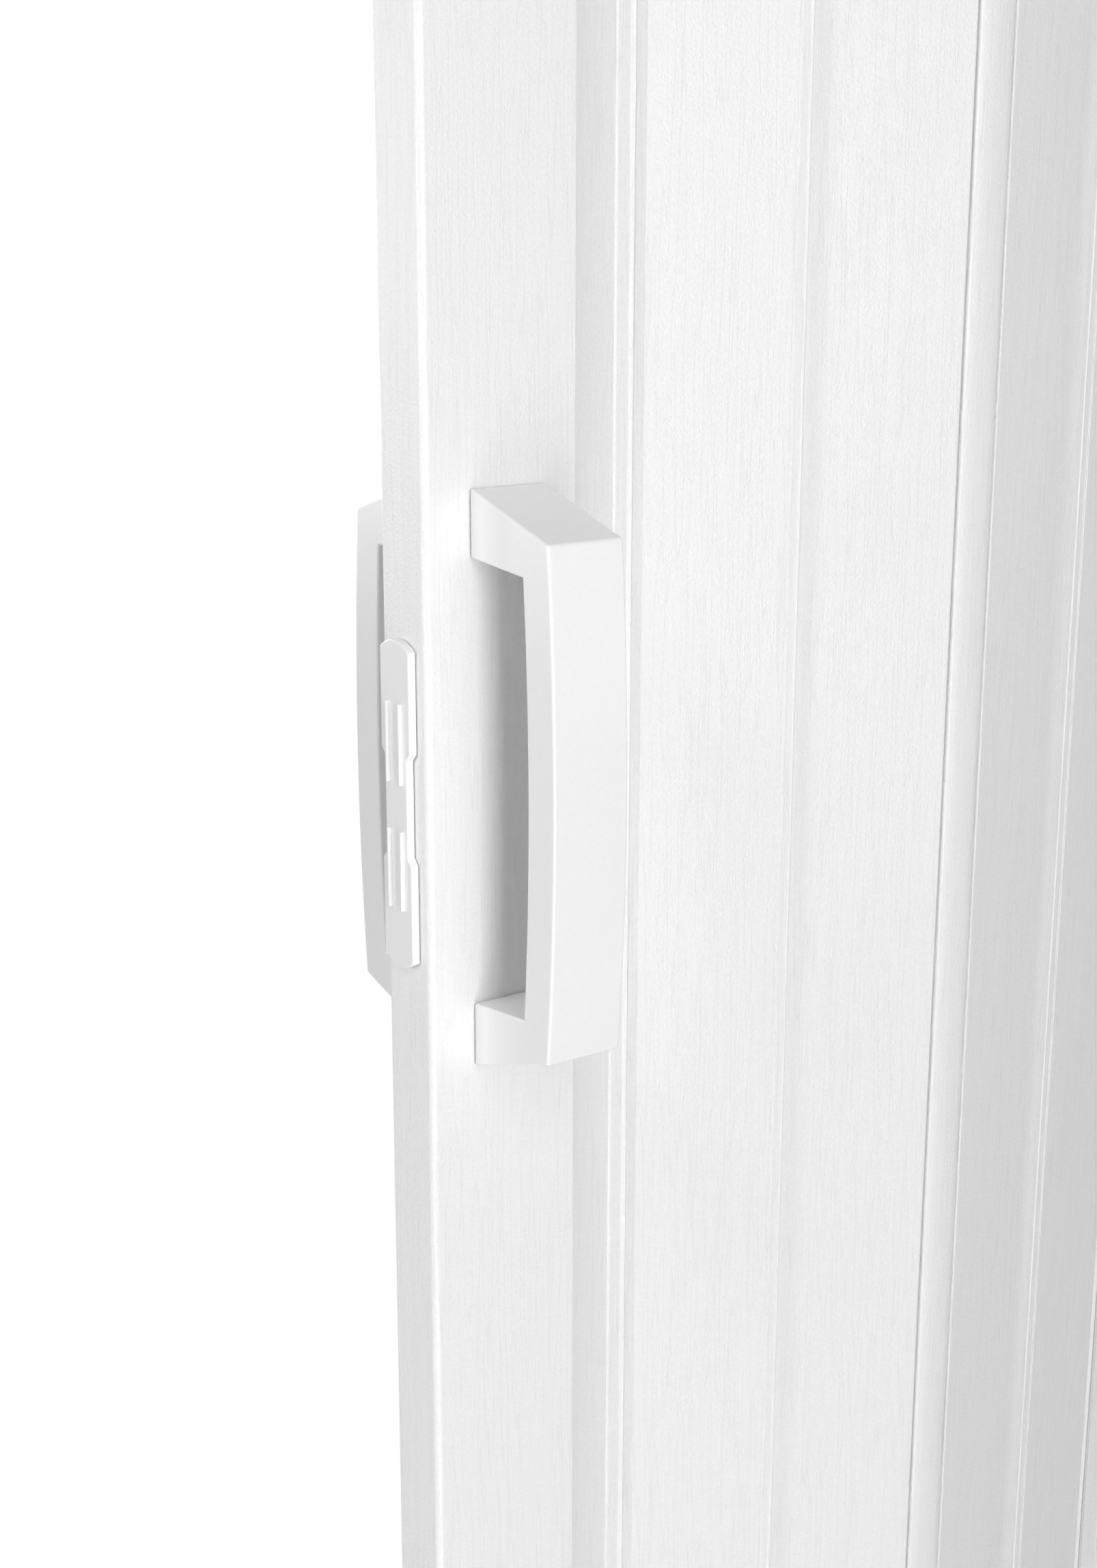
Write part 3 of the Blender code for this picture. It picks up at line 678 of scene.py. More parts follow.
def combine(
    work: Mesh, others: Iterable[Mesh], operation: str = "UNION", solver: str = "EXACT"
) -> Mesh:
    """Joins other bodies to a body, or cuts them out of it.

    Args:
        work: the body.
        others: the bodies to join or cut; they are used up.
        operation: UNION or DIFFERENCE.
        solver: EXACT, or MANIFOLD for long profiles.

    Returns:
        The result.
    """
    item = temporary(work)
    tools = [temporary(other) for other in others]
    for tool in tools:
        step = item.modifiers.new("step", "BOOLEAN")
        step.operation, step.solver, step.object = operation, solver, tool
    bpy.context.view_layer.update()
    result = bmesh.new()
    evaluated = item.evaluated_get(bpy.context.evaluated_depsgraph_get())
    result.from_mesh(evaluated.to_mesh())
    evaluated.to_mesh_clear()
    for gone in [item] + tools:
        mesh = gone.data
        bpy.data.objects.remove(gone, do_unlink=True)
        bpy.data.meshes.remove(mesh)
    bmesh.ops.remove_doubles(result, verts=result.verts, dist=SEAM)
    bmesh.ops.recalc_face_normals(result, faces=result.faces)
    return result


@dataclass(frozen=True)
class Seat:
    """Where a piece goes: the body that it rides on, and its place."""

    body: str
    matrix: Matrix

    def shifted(self, x: float, y: float = 0.0, z: float = 0.0) -> "Seat":
        """The same seat, moved along its own axes."""
        return Seat(self.body, self.matrix @ Matrix.Translation((x, y, z)))


@dataclass
class Workshop:
    """Turns bodies into finished pieces that ride on the frame."""

    finishes: dict[Slot, bpy.types.Material]
    joints: Sequence[dict]
    sharp_from: float = 32.0

    def axis(self, joint: str) -> Point:
        """The X and Y of a joint's axis."""
        return tuple(next(item["pos_m"] for item in self.joints if item["name"] == joint)[:2])

    def seat(self, joint: str, body: str) -> Seat:
        """The seat of a profile that stands on a joint's axis."""
        return Seat(body, Matrix.Translation((*self.axis(joint), 0)))

    def piece(self, node: str, work: Mesh, slot: Slot, seat: Seat) -> None:
        """Makes the piece that stands for one node of the frame.

        Args:
            node: the node's name.
            work: its shape, before it is put on its seat; it is used up.
            slot: its finish.
            seat: its place and the body that it rides on.
        """
        put(work, seat.matrix)
        body = seat.body
        for face in work.faces:
            face.smooth = True
        for edge in work.edges:
            shallow = degrees(edge.calc_face_angle(0)) < self.sharp_from
            edge.smooth = len(edge.link_faces) == 2 and shallow
        open_edges = sum(1 for edge in work.edges if len(edge.link_faces) != 2)
        mesh = bpy.data.meshes.new(f"{node}_shape")
        work.to_mesh(mesh)
        work.free()
        item = bpy.data.objects.new(f"{node}_finished", mesh)
        bpy.context.scene.collection.objects.link(item)
        mesh.materials.append(self.finishes[slot])
        even = item.modifiers.new("even_normals", "WEIGHTED_NORMAL")
        even.keep_sharp, even.weight = True, 50
        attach(item, body)
        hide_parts(node)
        log.info(
            "%-24s %6d faces, %d open edges, on %s", node, len(mesh.polygons), open_edges, body
        )


@dataclass
class SubAssembly:
    """Pieces that belong together, made in one workshop."""

    shop: Workshop


@dataclass(frozen=True)
class Hinge:
    """The bead and socket that join every two profiles; angles are from the track's line."""

    bead_radius: float = 0.0019
    neck_half: float = 0.0006
    profile_half: float = 0.0035
    strip_overhang: float = 0.0032
    closed: float = radians(5.0)
    folded: float = radians(80.0)
    chamfer_run: float = 0.0033
    chamfer_depth: float = 0.0007
    edge_radius: float = 0.0012

    def draw_edge(self, pen: Pen) -> Pen:
        """Draws the plain face's edge, up to the near rim of the socket.

        Args:
            pen: its origin is the socket's centre.

        Returns:
            The pen.
        """
        face, corner = -self.profile_half, self.strip_overhang - self.edge_radius
        edge = face + self.chamfer_depth
        pen.line((self.strip_overhang - self.chamfer_run, face), (corner, edge))
        return pen.arc((corner, edge + self.edge_radius), 90, 12)

    def draw_socket(self, pen: Pen) -> Pen:
        """Draws the socket from its near rim round to its far rim.

        Args:
            pen: its origin is the socket's centre.

        Returns:
            The pen.
        """
        radius, side = self.bead_radius + SMALL_GAP, self.neck_half + SMALL_GAP
        start, stop = self.closed - asin(side / radius), self.folded + asin(side / radius)
        reach = (self.profile_half - side * cos(self.folded)) / sin(self.folded)
        far = (reach * cos(self.folded) - side * sin(self.folded), self.profile_half)
        length = (self.strip_overhang - side * sin(self.closed)) / cos(self.closed)
        near = (self.strip_overhang, length * sin(self.closed) - side * cos(self.closed))
        pen.line(near, (radius * cos(start), radius * sin(start)))
        return pen.arc((0.0, 0.0), degrees(stop - start) - 360, 10).line(far)


HINGE = Hinge()


@dataclass
class Panel(SubAssembly):
    """One hollow panel: a raised and a lower half on each face, and a bead on each edge."""

    pitch: float
    fold: float = 13.0  # degrees from the track's line as modelled
    cell_start: float = 0.0076
    lap: float = 0.0036
    shoulder: tuple[Point, ...] = (
        (0.0036, 0.0006), (0.00368, 0.0011), (0.0058, 0.00302), (0.0060, 0.00328),
    )
    edge_radius: float = 0.0006
    edge_half: float = 0.0033
    middle_half: float = 0.0041
    low_half: float = 0.0025
    wall: float = 0.0012
    rib_pitch: float = 0.0210
    lip: float = 0.0040
    relief_offset: float = 0.0008
    middle_cell_inset: float = 0.0002
    middle_cell_radius: float = 0.0004

    @property
    def cell_end(self) -> float:
        """X where the cells stop, before the middle one."""
        return -self.lip - self.rib_pitch / 4

    def draw_face(self, pen: Pen) -> Pen:
        """Draws the front from the left body edge to the right bead and round it.

        Args:
            pen: its origin is the panel's middle.

        Returns:
            The pen.
        """
        half = self.pitch / 2
        (first, depth), *rest = self.shoulder
        pen.move(first - half, -depth).line(*((along - half, -depth) for along, depth in rest))
        self.draw_relief(pen)
        right, corner = half - self.lap, half - self.lap - self.edge_radius
        pen.line((corner, -self.edge_half))
        pen.arc((corner, -self.edge_half + self.edge_radius), 90, 18)
        neck = asin(HINGE.neck_half / HINGE.bead_radius)
        bead = half - HINGE.bead_radius * cos(neck)
        pen.line((right, -HINGE.neck_half), (bead, -HINGE.neck_half))
        pen.arc((half, 0.0), 360 - 2 * degrees(neck), 12)
        return pen.line((half - first, HINGE.neck_half))

    def draw_relief(self, pen: Pen) -> Pen:
        """Draws two fine lines, the dipped lip, its ridge and the ogee, along the middle.

        Args:
            pen: its origin is the panel's middle.

        Returns:
            The pen.
        """
        pen.frame(shift=(-self.relief_offset, -self.middle_half))
        pen.line((-0.00465, 0.0), (-0.00440, 0.00028), (-0.00415, 0.00003), (-0.00360, 0.0))
        pen.line((-0.00345, 0.00020), (-0.00325, 0.00008))
        pen.curve((-0.0022, 0.00018), (-0.0012, 0.00032), (-0.00062, 0.00036))
        pen.curve((-0.00050, 0.00008), (-0.00025, 0.0), (0.0, 0.0))
        pen.curve((0.00030, 0.0), (0.00042, 0.00030), (0.00062, 0.00040))
        pen.curve((0.00160, 0.00050), (0.00260, 0.00062), (0.00360, 0.00084))
        pen.curve((0.00560, 0.00128), (0.00700, 0.00160), (0.01000, 0.00160), 12)
        return pen.frame()

    def draw_cells(self, pen: Pen) -> Pen:
        """Draws the two hollow cells of the left half, between the faces.

        Args:
            pen: its origin is the panel's middle.

        Returns:
            The pen.
        """
        low, edge = self.low_half - self.wall, self.edge_half - self.wall
        start = self.cell_start - self.pitch / 2
        width = (self.cell_end - start) / 2
        for left in (start, start + width):
            right = left + width - self.wall
            pen.move(left, -edge).line((right, -edge), (right, low), (left, low), (left, -edge))
        return pen

    def build(self, number: int) -> None:
        """Makes one panel; every second one hangs upside down, to lap on the other face.

        Args:
            number: the panel's number, from the lead post.
        """
        pen = self.draw_cells(self.draw_face(Pen())).repeat_turned()
        middle = -2 * self.cell_end - 2 * self.wall
        depth = 2 * (self.low_half - self.wall - self.middle_cell_inset)
        pen.rounded((0.0, 0.0), middle, depth, self.middle_cell_radius)
        work = pen.extrude(LEAF_BOTTOM, LEAF_TOP)
        angle, flip = -self.fold, Matrix()
        if number % 2 == 0:
            angle, flip = self.fold, Matrix.Rotation(pi, 4, "X")
        rise = Matrix.Translation((0, 0, (LEAF_TOP + LEAF_BOTTOM) / 2))
        put(work, Matrix.Translation((-self.pitch / 2, 0, 0)) @ rise @ flip @ rise.inverted())
        put(work, Matrix.Rotation(radians(angle), 4, "Z"))
        name = f"panel_{number}"
        self.shop.piece(name, work, Slot.PVC, self.shop.seat(f"{name}_hinge", name))


@dataclass
class Screw:
    """A pan-head screw with a cross recess and a ringed thread, its head up on the Z axis."""

    radius: float
    length: float
    head_radius: float
    head: float
    pitch: float = 0.0010
    depth: float = 0.0003
    plain: float = 0.004
    tip: float = 0.002
    root_at: float = 0.45  # of the pitch
    crown: float = 0.3  # of the head's height
    crown_flat: float = 0.72  # of its radius
    crown_corner: Point = (0.9, 0.35)  # of its radius and of the crown
    cross: Point = (0.62, 0.14)  # half length and half width, of its radius
    cross_depth: float = 0.55  # of its height

    def body(self, seat: float) -> Mesh:
        """Makes the screw.

        Args:
            seat: the height of its head's underside.

        Returns:
            The body.
        """
        top, crown, end = seat + self.head, self.head * self.crown, seat - self.length
        out, down = self.crown_corner
        pen = Pen().move(0.0, top).line((self.head_radius * self.crown_flat, top))
        pen.line((self.head_radius * out, top - crown * down), (self.head_radius, top - crown))
        height = seat - self.plain
        pen.line((self.head_radius, seat), (self.radius, seat), (self.radius, height))
        root, drop = self.radius - self.depth, self.pitch * self.root_at
        while height - self.pitch > end + self.tip:
            pen.line((root, height - drop), (self.radius, height - self.pitch))
            height -= self.pitch
        pen.line((root, height - drop), (0.0, end))
        arm, thick = (self.head_radius * share for share in self.cross)
        low, high = top - self.head * self.cross_depth, top + BEYOND
        cross = [block((-x, -y, low), (x, y, high)) for x, y in ((arm, thick), (thick, arm))]
        return combine(pen.turn(24), cross, "DIFFERENCE")


@dataclass
class Glider(SubAssembly):
    """A T-shaped nylon slider in the track, hung on a screw or a pin."""

    width: float = 0.027
    head: float = 0.0075
    neck: float = 0.0110
    relief: float = 0.0004
    edge: float = 0.0008
    rim: float = 0.0002
    strip_length: float = 0.016
    post_length: float = 0.018
    screw_radius: float = 0.0023
    screw_head_radius: float = 0.0042
    screw_head: float = 0.0030
    screw_length: float = 0.027
    pin_radius: float = 0.0011
    pin_taper: Point = (0.0005, 0.0006)
    pin_head_radius: float = 0.0026
    pin_head_edge: float = 0.0005
    pin_head: float = 0.0016
    pin_depth: float = 0.024
    recess_extra: float = 0.0008

    @property
    def top(self) -> float:
        """Height of the glider's upper face."""
        return -TRACK_HEIGHT + TRACK_WALL + GAP + self.head

    def slider(self, length: float, hole: float, head_hole: float, recess: float) -> Mesh:
        """Makes the slider at the origin of X and Y.

        Args:
            length: along the track.
            hole: radius of the hole for the shank.
            head_hole: radius of the hole for the head.
            recess: depth of that hole.

        Returns:
            The body.
        """
        low, head_low = LEAF_TOP + GAP, self.top - self.head
        half, neck, edge = self.width / 2, self.neck / 2, self.edge
        pen = Pen().move(0.0, low).line((neck, low), (neck, head_low + self.relief))
        pen.line((half, head_low), (half, self.top - edge))
        pen.arc((half - edge, self.top - edge), 90, 22.5).line((0.0, self.top))
        work = pen.repeat_mirrored("X").extrude(-length / 2, length / 2)
        ease(put(work, LAY_ALONG_X), self.rim)
        above = self.top + BEYOND
        bores = [rod(hole, low - BEYOND, above, 24), rod(head_hole, self.top - recess, above, 32)]
        return combine(work, bores, "DIFFERENCE")

    def build_on_strip(self, number: int, seat: Seat) -> None:
        """Makes the glider and pin over a hinge strip.

        Args:
            number: the strip's number.
            seat: the middle of the strip.
        """
        recess = self.pin_head + self.recess_extra
        holes = self.pin_radius + SMALL_GAP, self.pin_head_radius + GAP
        work = self.slider(self.strip_length, *holes, recess)
        self.shop.piece(f"strip_glider_{number}", work, Slot.NYLON, seat)
        under = self.top - recess + GAP
        end = LEAF_TOP - self.pin_depth
        taper, tip = self.pin_taper
        pen = Pen().crown(self.pin_head_radius, under + self.pin_head, self.pin_head_edge)
        pen.line((self.pin_head_radius, under), (self.pin_radius, under))
        pen.line((self.pin_radius, end + tip), (self.pin_radius - taper, end), (0.0, end))
        self.shop.piece(f"hanger_pin_{number}", pen.turn(28), Slot.ZINC, seat)

    def build_on_post(self, seat: Seat, places: Sequence[float]) -> None:
        """Makes the gliders and screws over the lead post.

        Args:
            seat: the post's axis.
            places: X of each glider from it.
        """
        recess = self.screw_head + self.recess_extra
        holes = self.screw_radius + GAP, self.screw_head_radius + GAP
        screw = Screw(
            self.screw_radius, self.screw_length, self.screw_head_radius, self.screw_head
        )
        for number, x in enumerate(places, 1):
            work = self.slider(self.post_length, *holes, recess)
            self.shop.piece(f"post_glider_{number}", work, Slot.NYLON, seat.shifted(x))
            work = screw.body(self.top - recess + GAP)
            self.shop.piece(f"hanger_screw_{number}", work, Slot.ZINC, seat.shifted(x))


@dataclass
class HingeStrip(SubAssembly):
    """A strip with a socket on each edge, a pinned foot and, behind the door, a glider."""

    pivots: float = 0.0088
    width: float = 0.0152
    port_radius: float = 0.0013
    foot_thickness: float = 0.0020
    foot_corner: float = 0.0025
    foot_edge: float = 0.0003
    pin_radius: float = 0.0011
    pin_taper: Point = (0.0005, 0.0006)
    foot_pin: float = 0.014

    def build(self, number: int) -> None:
        """Makes one strip with what it carries.

        Args:
            number: the strip's number, from the lead post.
        """
        middle = self.pivots / 2
        seat = self.shop.seat(f"hinge_strip_{number}_hinge", f"strip_{number}").shifted(-middle)
        pen = Pen().frame(shift=(middle, 0.0)).move(-middle, -HINGE.profile_half)
        HINGE.draw_socket(HINGE.draw_edge(pen)).line((-middle, HINGE.profile_half))
        pen.repeat_mirrored("X").frame().circle(self.port_radius, 24)
        work = pen.extrude(LEAF_BOTTOM, LEAF_TOP)
        if number % 2 == 0:
            put(work, Matrix.Rotation(pi, 4, "Z"))
        self.shop.piece(f"hinge_strip_{number}", work, Slot.PVC, seat)
        self.build_foot(number, seat)
        if number % 2 == 0:
            Glider(self.shop).build_on_strip(number, seat)

    def build_foot(self, number: int, seat: Seat) -> None:
        """Makes the pinned stop under a strip.

        Args:
            number: the strip's number.
            seat: the middle of the strip.
        """
        top = LEAF_BOTTOM - GAP
        pen = Pen().rounded((0.0, 0.0), self.width, 2 * HINGE.profile_half, self.foot_corner)
        plate = ease(pen.extrude(top - self.foot_thickness, top), self.foot_edge, least=25.0)
        tip, low = top + self.foot_pin, top - self.foot_thickness / 2
        inward, down = self.pin_taper
        pin = Pen().move(0.0, low).line((self.pin_radius, low), (self.pin_radius, tip - down))
        pin.line((self.pin_radius - inward, tip), (0.0, tip))
        self.shop.piece(f"hinge_foot_{number}", combine(plate, [pin.turn(24)]), Slot.NYLON, seat)


@dataclass
class LeadPost(SubAssembly):
    """The hollow lead post with its flared tail, caps, latch plate clips and screw holes."""

    width: float = 0.053
    depth: float = 0.024
    wall: float = 0.0020
    edge_radius: float = 0.0022
    inner_edge_radius: float = 0.0005
    bore_radius: float = 0.001
    tail: float = 0.0257
    tail_bore_root: float = 0.0045
    tail_bore_half: float = 0.002
    band: float = 0.0050
    band_start: float = 0.0007
    notch_width: float = 0.0010
    notch_depth: float = 0.0003
    notch_rise: float = 0.0001
    notch_rim: float = 0.0002
    root_half: float = 0.0114
    crease: float = radians(11.0)
    cap_flange: float = 0.0024
    cap_depth: float = 0.016
    cap_edge: float = 0.0004
    glider_margin: float = 0.015
    hanger_radius: float = 0.0023
    hanger_cut: float = 0.05  # half length of the body that cuts its hole
    handle_offset: float = 0.0282
    handle_height: float = -1.010
    screw_spacing: float = 0.143
    screw_radius: float = 0.0016

    @property
    def base(self) -> float:
        """X of the closing face from the post's axis."""
        return -self.width - self.tail

    @property
    def seat(self) -> Seat:
        """The post's own axis, on which all its pieces ride."""
        return self.shop.seat("lead_post_hinge", Body.POST.value)

    @property
    def glider_places(self) -> tuple[float, float]:
        """X of the two gliders from the post's axis."""
        return self.base + self.glider_margin, self.base + self.width - self.glider_margin

    def screw_place(self, end: int) -> Place:
        """The middle of a handle screw's hole: 1 is the upper one, -1 the lower."""
        height = self.handle_height + end * self.screw_spacing / 2
        return self.base + self.handle_offset, 0, height

    def draw_side(self, pen: Pen, side: Face) -> Pen:
        """Draws one face from the middle of the closing face to the band beside the socket.

        Args:
            pen: its origin becomes the middle of the closing face.
            side: the face.

        Returns:
            The pen.
        """
        half, corner = self.depth / 2, self.width - self.inner_edge_radius
        pen.frame((1, -side.value), (self.base, 0.0)).move(0.0, 0.0)
        pen.line((0.0, -half + self.edge_radius))
        pen.arc((self.edge_radius, -half + self.edge_radius), 90, 9).line((corner, -half))
        pen.arc((corner, -half + self.inner_edge_radius), 90, 15)
        pen.line((self.width, -self.root_half))
        run = self.tail - self.band - self.notch_width
        low = HINGE.profile_half - self.notch_depth
        drop = self.root_half - low
        turn = atan2(drop, run) - self.crease
        radius = hypot(run, drop) / (2 * sin(turn))
        centre = self.width + run + radius * sin(self.crease), -low - radius * cos(self.crease)
        pen.arc(centre, -2 * degrees(turn), 0.7)
        foot = self.width + self.tail - self.band
        pen.line((foot - self.notch_depth, self.notch_rise - low))
        pen.line((foot + self.notch_rim, self.notch_rise - HINGE.profile_half))
        return pen.line((foot + self.band_start, -HINGE.profile_half))

    def draw_socket(self, pen: Pen) -> Pen:
        """Draws the band and the socket, which opens to the front.

        Args:
            pen: its origin becomes the post's axis.

        Returns:
            The pen.
        """
        band = self.band_start - self.band
        pen.frame((1, -1)).move(band, -HINGE.profile_half)
        return HINGE.draw_socket(HINGE.draw_edge(pen)).line((band, HINGE.profile_half))

    def build(self) -> None:
        """Makes the post and its caps."""
        pen = Pen()
        for side in Face:
            self.draw_side(pen, side)
        self.draw_socket(pen).frame()
        middle = self.base + self.width / 2
        inside = self.width - 2 * self.wall, self.depth - 2 * self.wall
        pen.rounded((middle, 0.0), *inside, self.bore_radius)
        start, end = self.wall - self.tail, -self.band - self.wall
        root, tip = self.tail_bore_root, self.tail_bore_half
        pen.move(start, -root).line((end, -tip), (end, tip), (start, root), (start, -root))
        work = pen.extrude(LEAF_BOTTOM, LEAF_TOP - self.cap_flange - GAP)
        work = combine(work, self.holes(), "DIFFERENCE", "MANIFOLD")
        self.shop.piece("lead_post", work, Slot.PVC, self.seat)
        self.build_caps()

    def holes(self) -> list[Mesh]:
        """The handle screws' holes and the latch clips' slots, as bodies to cut.

        Returns:
            The bodies.
        """
        plate = LatchPlate(self.shop, self)
        made = []
        for end in ENDS:
            place = Matrix.Translation(self.screw_place(end)) @ TURN_Z_TO_Y
            made.append(rod(self.screw_radius + GAP, -self.depth, self.depth, 24, place))
        return made + [plate.stem(end, GAP) for end in ENDS]

    def build_caps(self) -> None:
        """Makes the top and bottom caps."""
        tail_pen, socket_pen = Pen(), Pen()
        for side in Face:
            self.draw_side(tail_pen, side).line((self.width + self.tail - self.band, 0.0))
            self.draw_side(socket_pen, side).frame((1, -side.value))
            socket_pen.line((0.0, -HINGE.profile_half)).arc((0.0, 0.0), 90, 10)
        work = self.cap(tail_pen, LEAF_TOP - self.cap_flange, -1)
        ends = LEAF_TOP - self.hanger_cut, LEAF_TOP + self.hanger_cut
        holes = [
            rod(self.hanger_radius + GAP, *ends, 24, Matrix.Translation((x, 0, 0)))
            for x in self.glider_places
        ]
        work = combine(work, holes, "DIFFERENCE")
        self.shop.piece("post_top_cap", work, Slot.GLOSS, self.seat)
        work = self.cap(socket_pen, LEAF_BOTTOM - GAP - self.cap_flange, 1)
        self.shop.piece("post_bottom_cap", work, Slot.GLOSS, self.seat)

    def cap(self, pen: Pen, low: float, way: int) -> Mesh:
        """Makes a flange with a plug that fits in the post.

        Args:
            pen: holds the flange's outline.
            low: the flange's lower face.
            way: 1 where the plug goes up, -1 where it goes down.

        Returns:
            The body.
        """
        flange = ease(pen.extrude(low, low + self.cap_flange), self.cap_edge)
        start = low + self.cap_flange / 2
        inner = (size - 2 * (self.wall + GAP) for size in (self.width, self.depth))
        plug = Pen().rounded((self.base + self.width / 2, 0.0), *inner, self.bore_radius)
        return combine(flange, [plug.extrude(*sorted((start, start + way * self.cap_depth)))])


@dataclass
class LatchPlate(SubAssembly):
    """The slim moulded plate on the closing face, with two pairs of ribs and two clips."""

    post: LeadPost
    height: float = 0.0942
    width: float = 0.0156
    thickness: float = 0.0024
    edge: float = 0.00045
    rise: float = 0.0028
    waist: float = 0.0316
    waist_inset: float = 0.0019
    waist_slope: float = 0.0022
    middle: float = -1.0162
    shift: float = 0.0012
    rib_gap: float = 0.0140
    rib_length: float = 0.0245
    rib_width: float = 0.0010
    rib_height: float = 0.0012
    rib_edge: float = 0.0003
    rib_spacing: float = 0.0069
    clip_spacing: float = 0.056
    clip_height: float = 0.0080
    clip_width: float = 0.0060
    hook: float = 0.0010
    hook_root: float = 0.001
    hook_run: float = 0.0030

    def stem(self, end: int, grow: float) -> Mesh:
        """One clip's stem, or with grow the slot that it goes through.

        Args:
            end: 1 for the upper clip, -1 for the lower.
            grow: clearance of the slot.

        Returns:
            The body.
        """
        tall, wide = self.clip_height / 2 + grow, self.clip_width / 2 + grow
        height = self.middle + end * self.clip_spacing / 2
        out = self.post.base - (self.post.wall if grow else self.thickness / 2)
        into = self.post.base + self.post.wall + self.hook_run + GAP
        low = (out, self.shift - wide, height - tall)
        return block(low, (into, self.shift + wide, height + tall))

    def hook_block(self, end: int) -> Mesh:
        """The hook on one clip's stem, behind the post's wall.

        Args:
            end: 1 for the upper clip, -1 for the lower.

        Returns:
            The body.
        """
        z = self.middle + end * self.clip_spacing / 2
        inside, wide = self.post.base + self.post.wall + GAP, self.clip_width / 2
        root, tip = self.clip_height / 2 - self.hook_root, self.clip_height / 2 + self.hook + GAP
        near, far = sorted((z + end * root, z + end * tip))
        low = (inside, self.shift - wide, near)
        return block(low, (inside + self.hook_run / 2, self.shift + wide, far))

    def rib(self, row: int, column: int, face: float) -> Mesh:
        """One rib on the plate's face.

        Args:
            row: 1 above the middle, -1 below.
            column: the side of Y.
            face: X of the plate's outer face.

        Returns:
            The body.
        """
        z = self.middle + row * (self.rib_gap + self.rib_length) / 2
        y = self.shift + column * self.rib_spacing / 2
        wide, tall = self.rib_width / 2, self.rib_length / 2
        low = (face - self.rib_height, y - wide, z - tall)
        work = block(low, (face + self.thickness / 3, y + wide, z + tall))
        return ease(work, self.rib_edge, keep=lambda edge: min(v.co.x for v in edge.verts) < face)

    def draw(self, pen: Pen) -> Pen:
        """Draws the right half of the plate, X across the post and Y up.

        Args:
            pen: its origin is the plate's middle.

        Returns:
            The pen.
        """
        half, side = self.width / 2, self.height / 2
        slim, slope, waist = half - self.waist_inset, self.waist_slope / 2, self.waist / 2
        pen.move(half, -side).line((half, -waist - slope), (slim, -waist + slope))
        pen.line((slim, waist - slope), (half, waist + slope), (half, side))
        radius = (half * half + self.rise * self.rise) / (2 * self.rise)
        sweep = 2 * degrees(acos((radius - self.rise) / radius))
        return pen.arc((0.0, side + self.rise - radius), sweep, 6)

    def build(self) -> None:
        """Makes the plate with its ribs and clips."""
        work = self.draw(Pen()).repeat_turned().extrude(-self.thickness, 0.0)
        half = -self.thickness / 2
        ease(work, self.edge, 3, keep=lambda edge: max(v.co.z for v in edge.verts) < half)
        back = self.post.base - GAP
        put(work, Matrix.Translation((back, self.shift, self.middle)) @ LAY_ALONG_X)
        added = [self.stem(end, 0.0) for end in ENDS]
        added += [self.rib(row, column, back - self.thickness) for row in ENDS for column in ENDS]
        added += [self.hook_block(end) for end in ENDS]
        self.shop.piece("latch_plate", combine(work, added), Slot.GLOSS, self.post.seat)


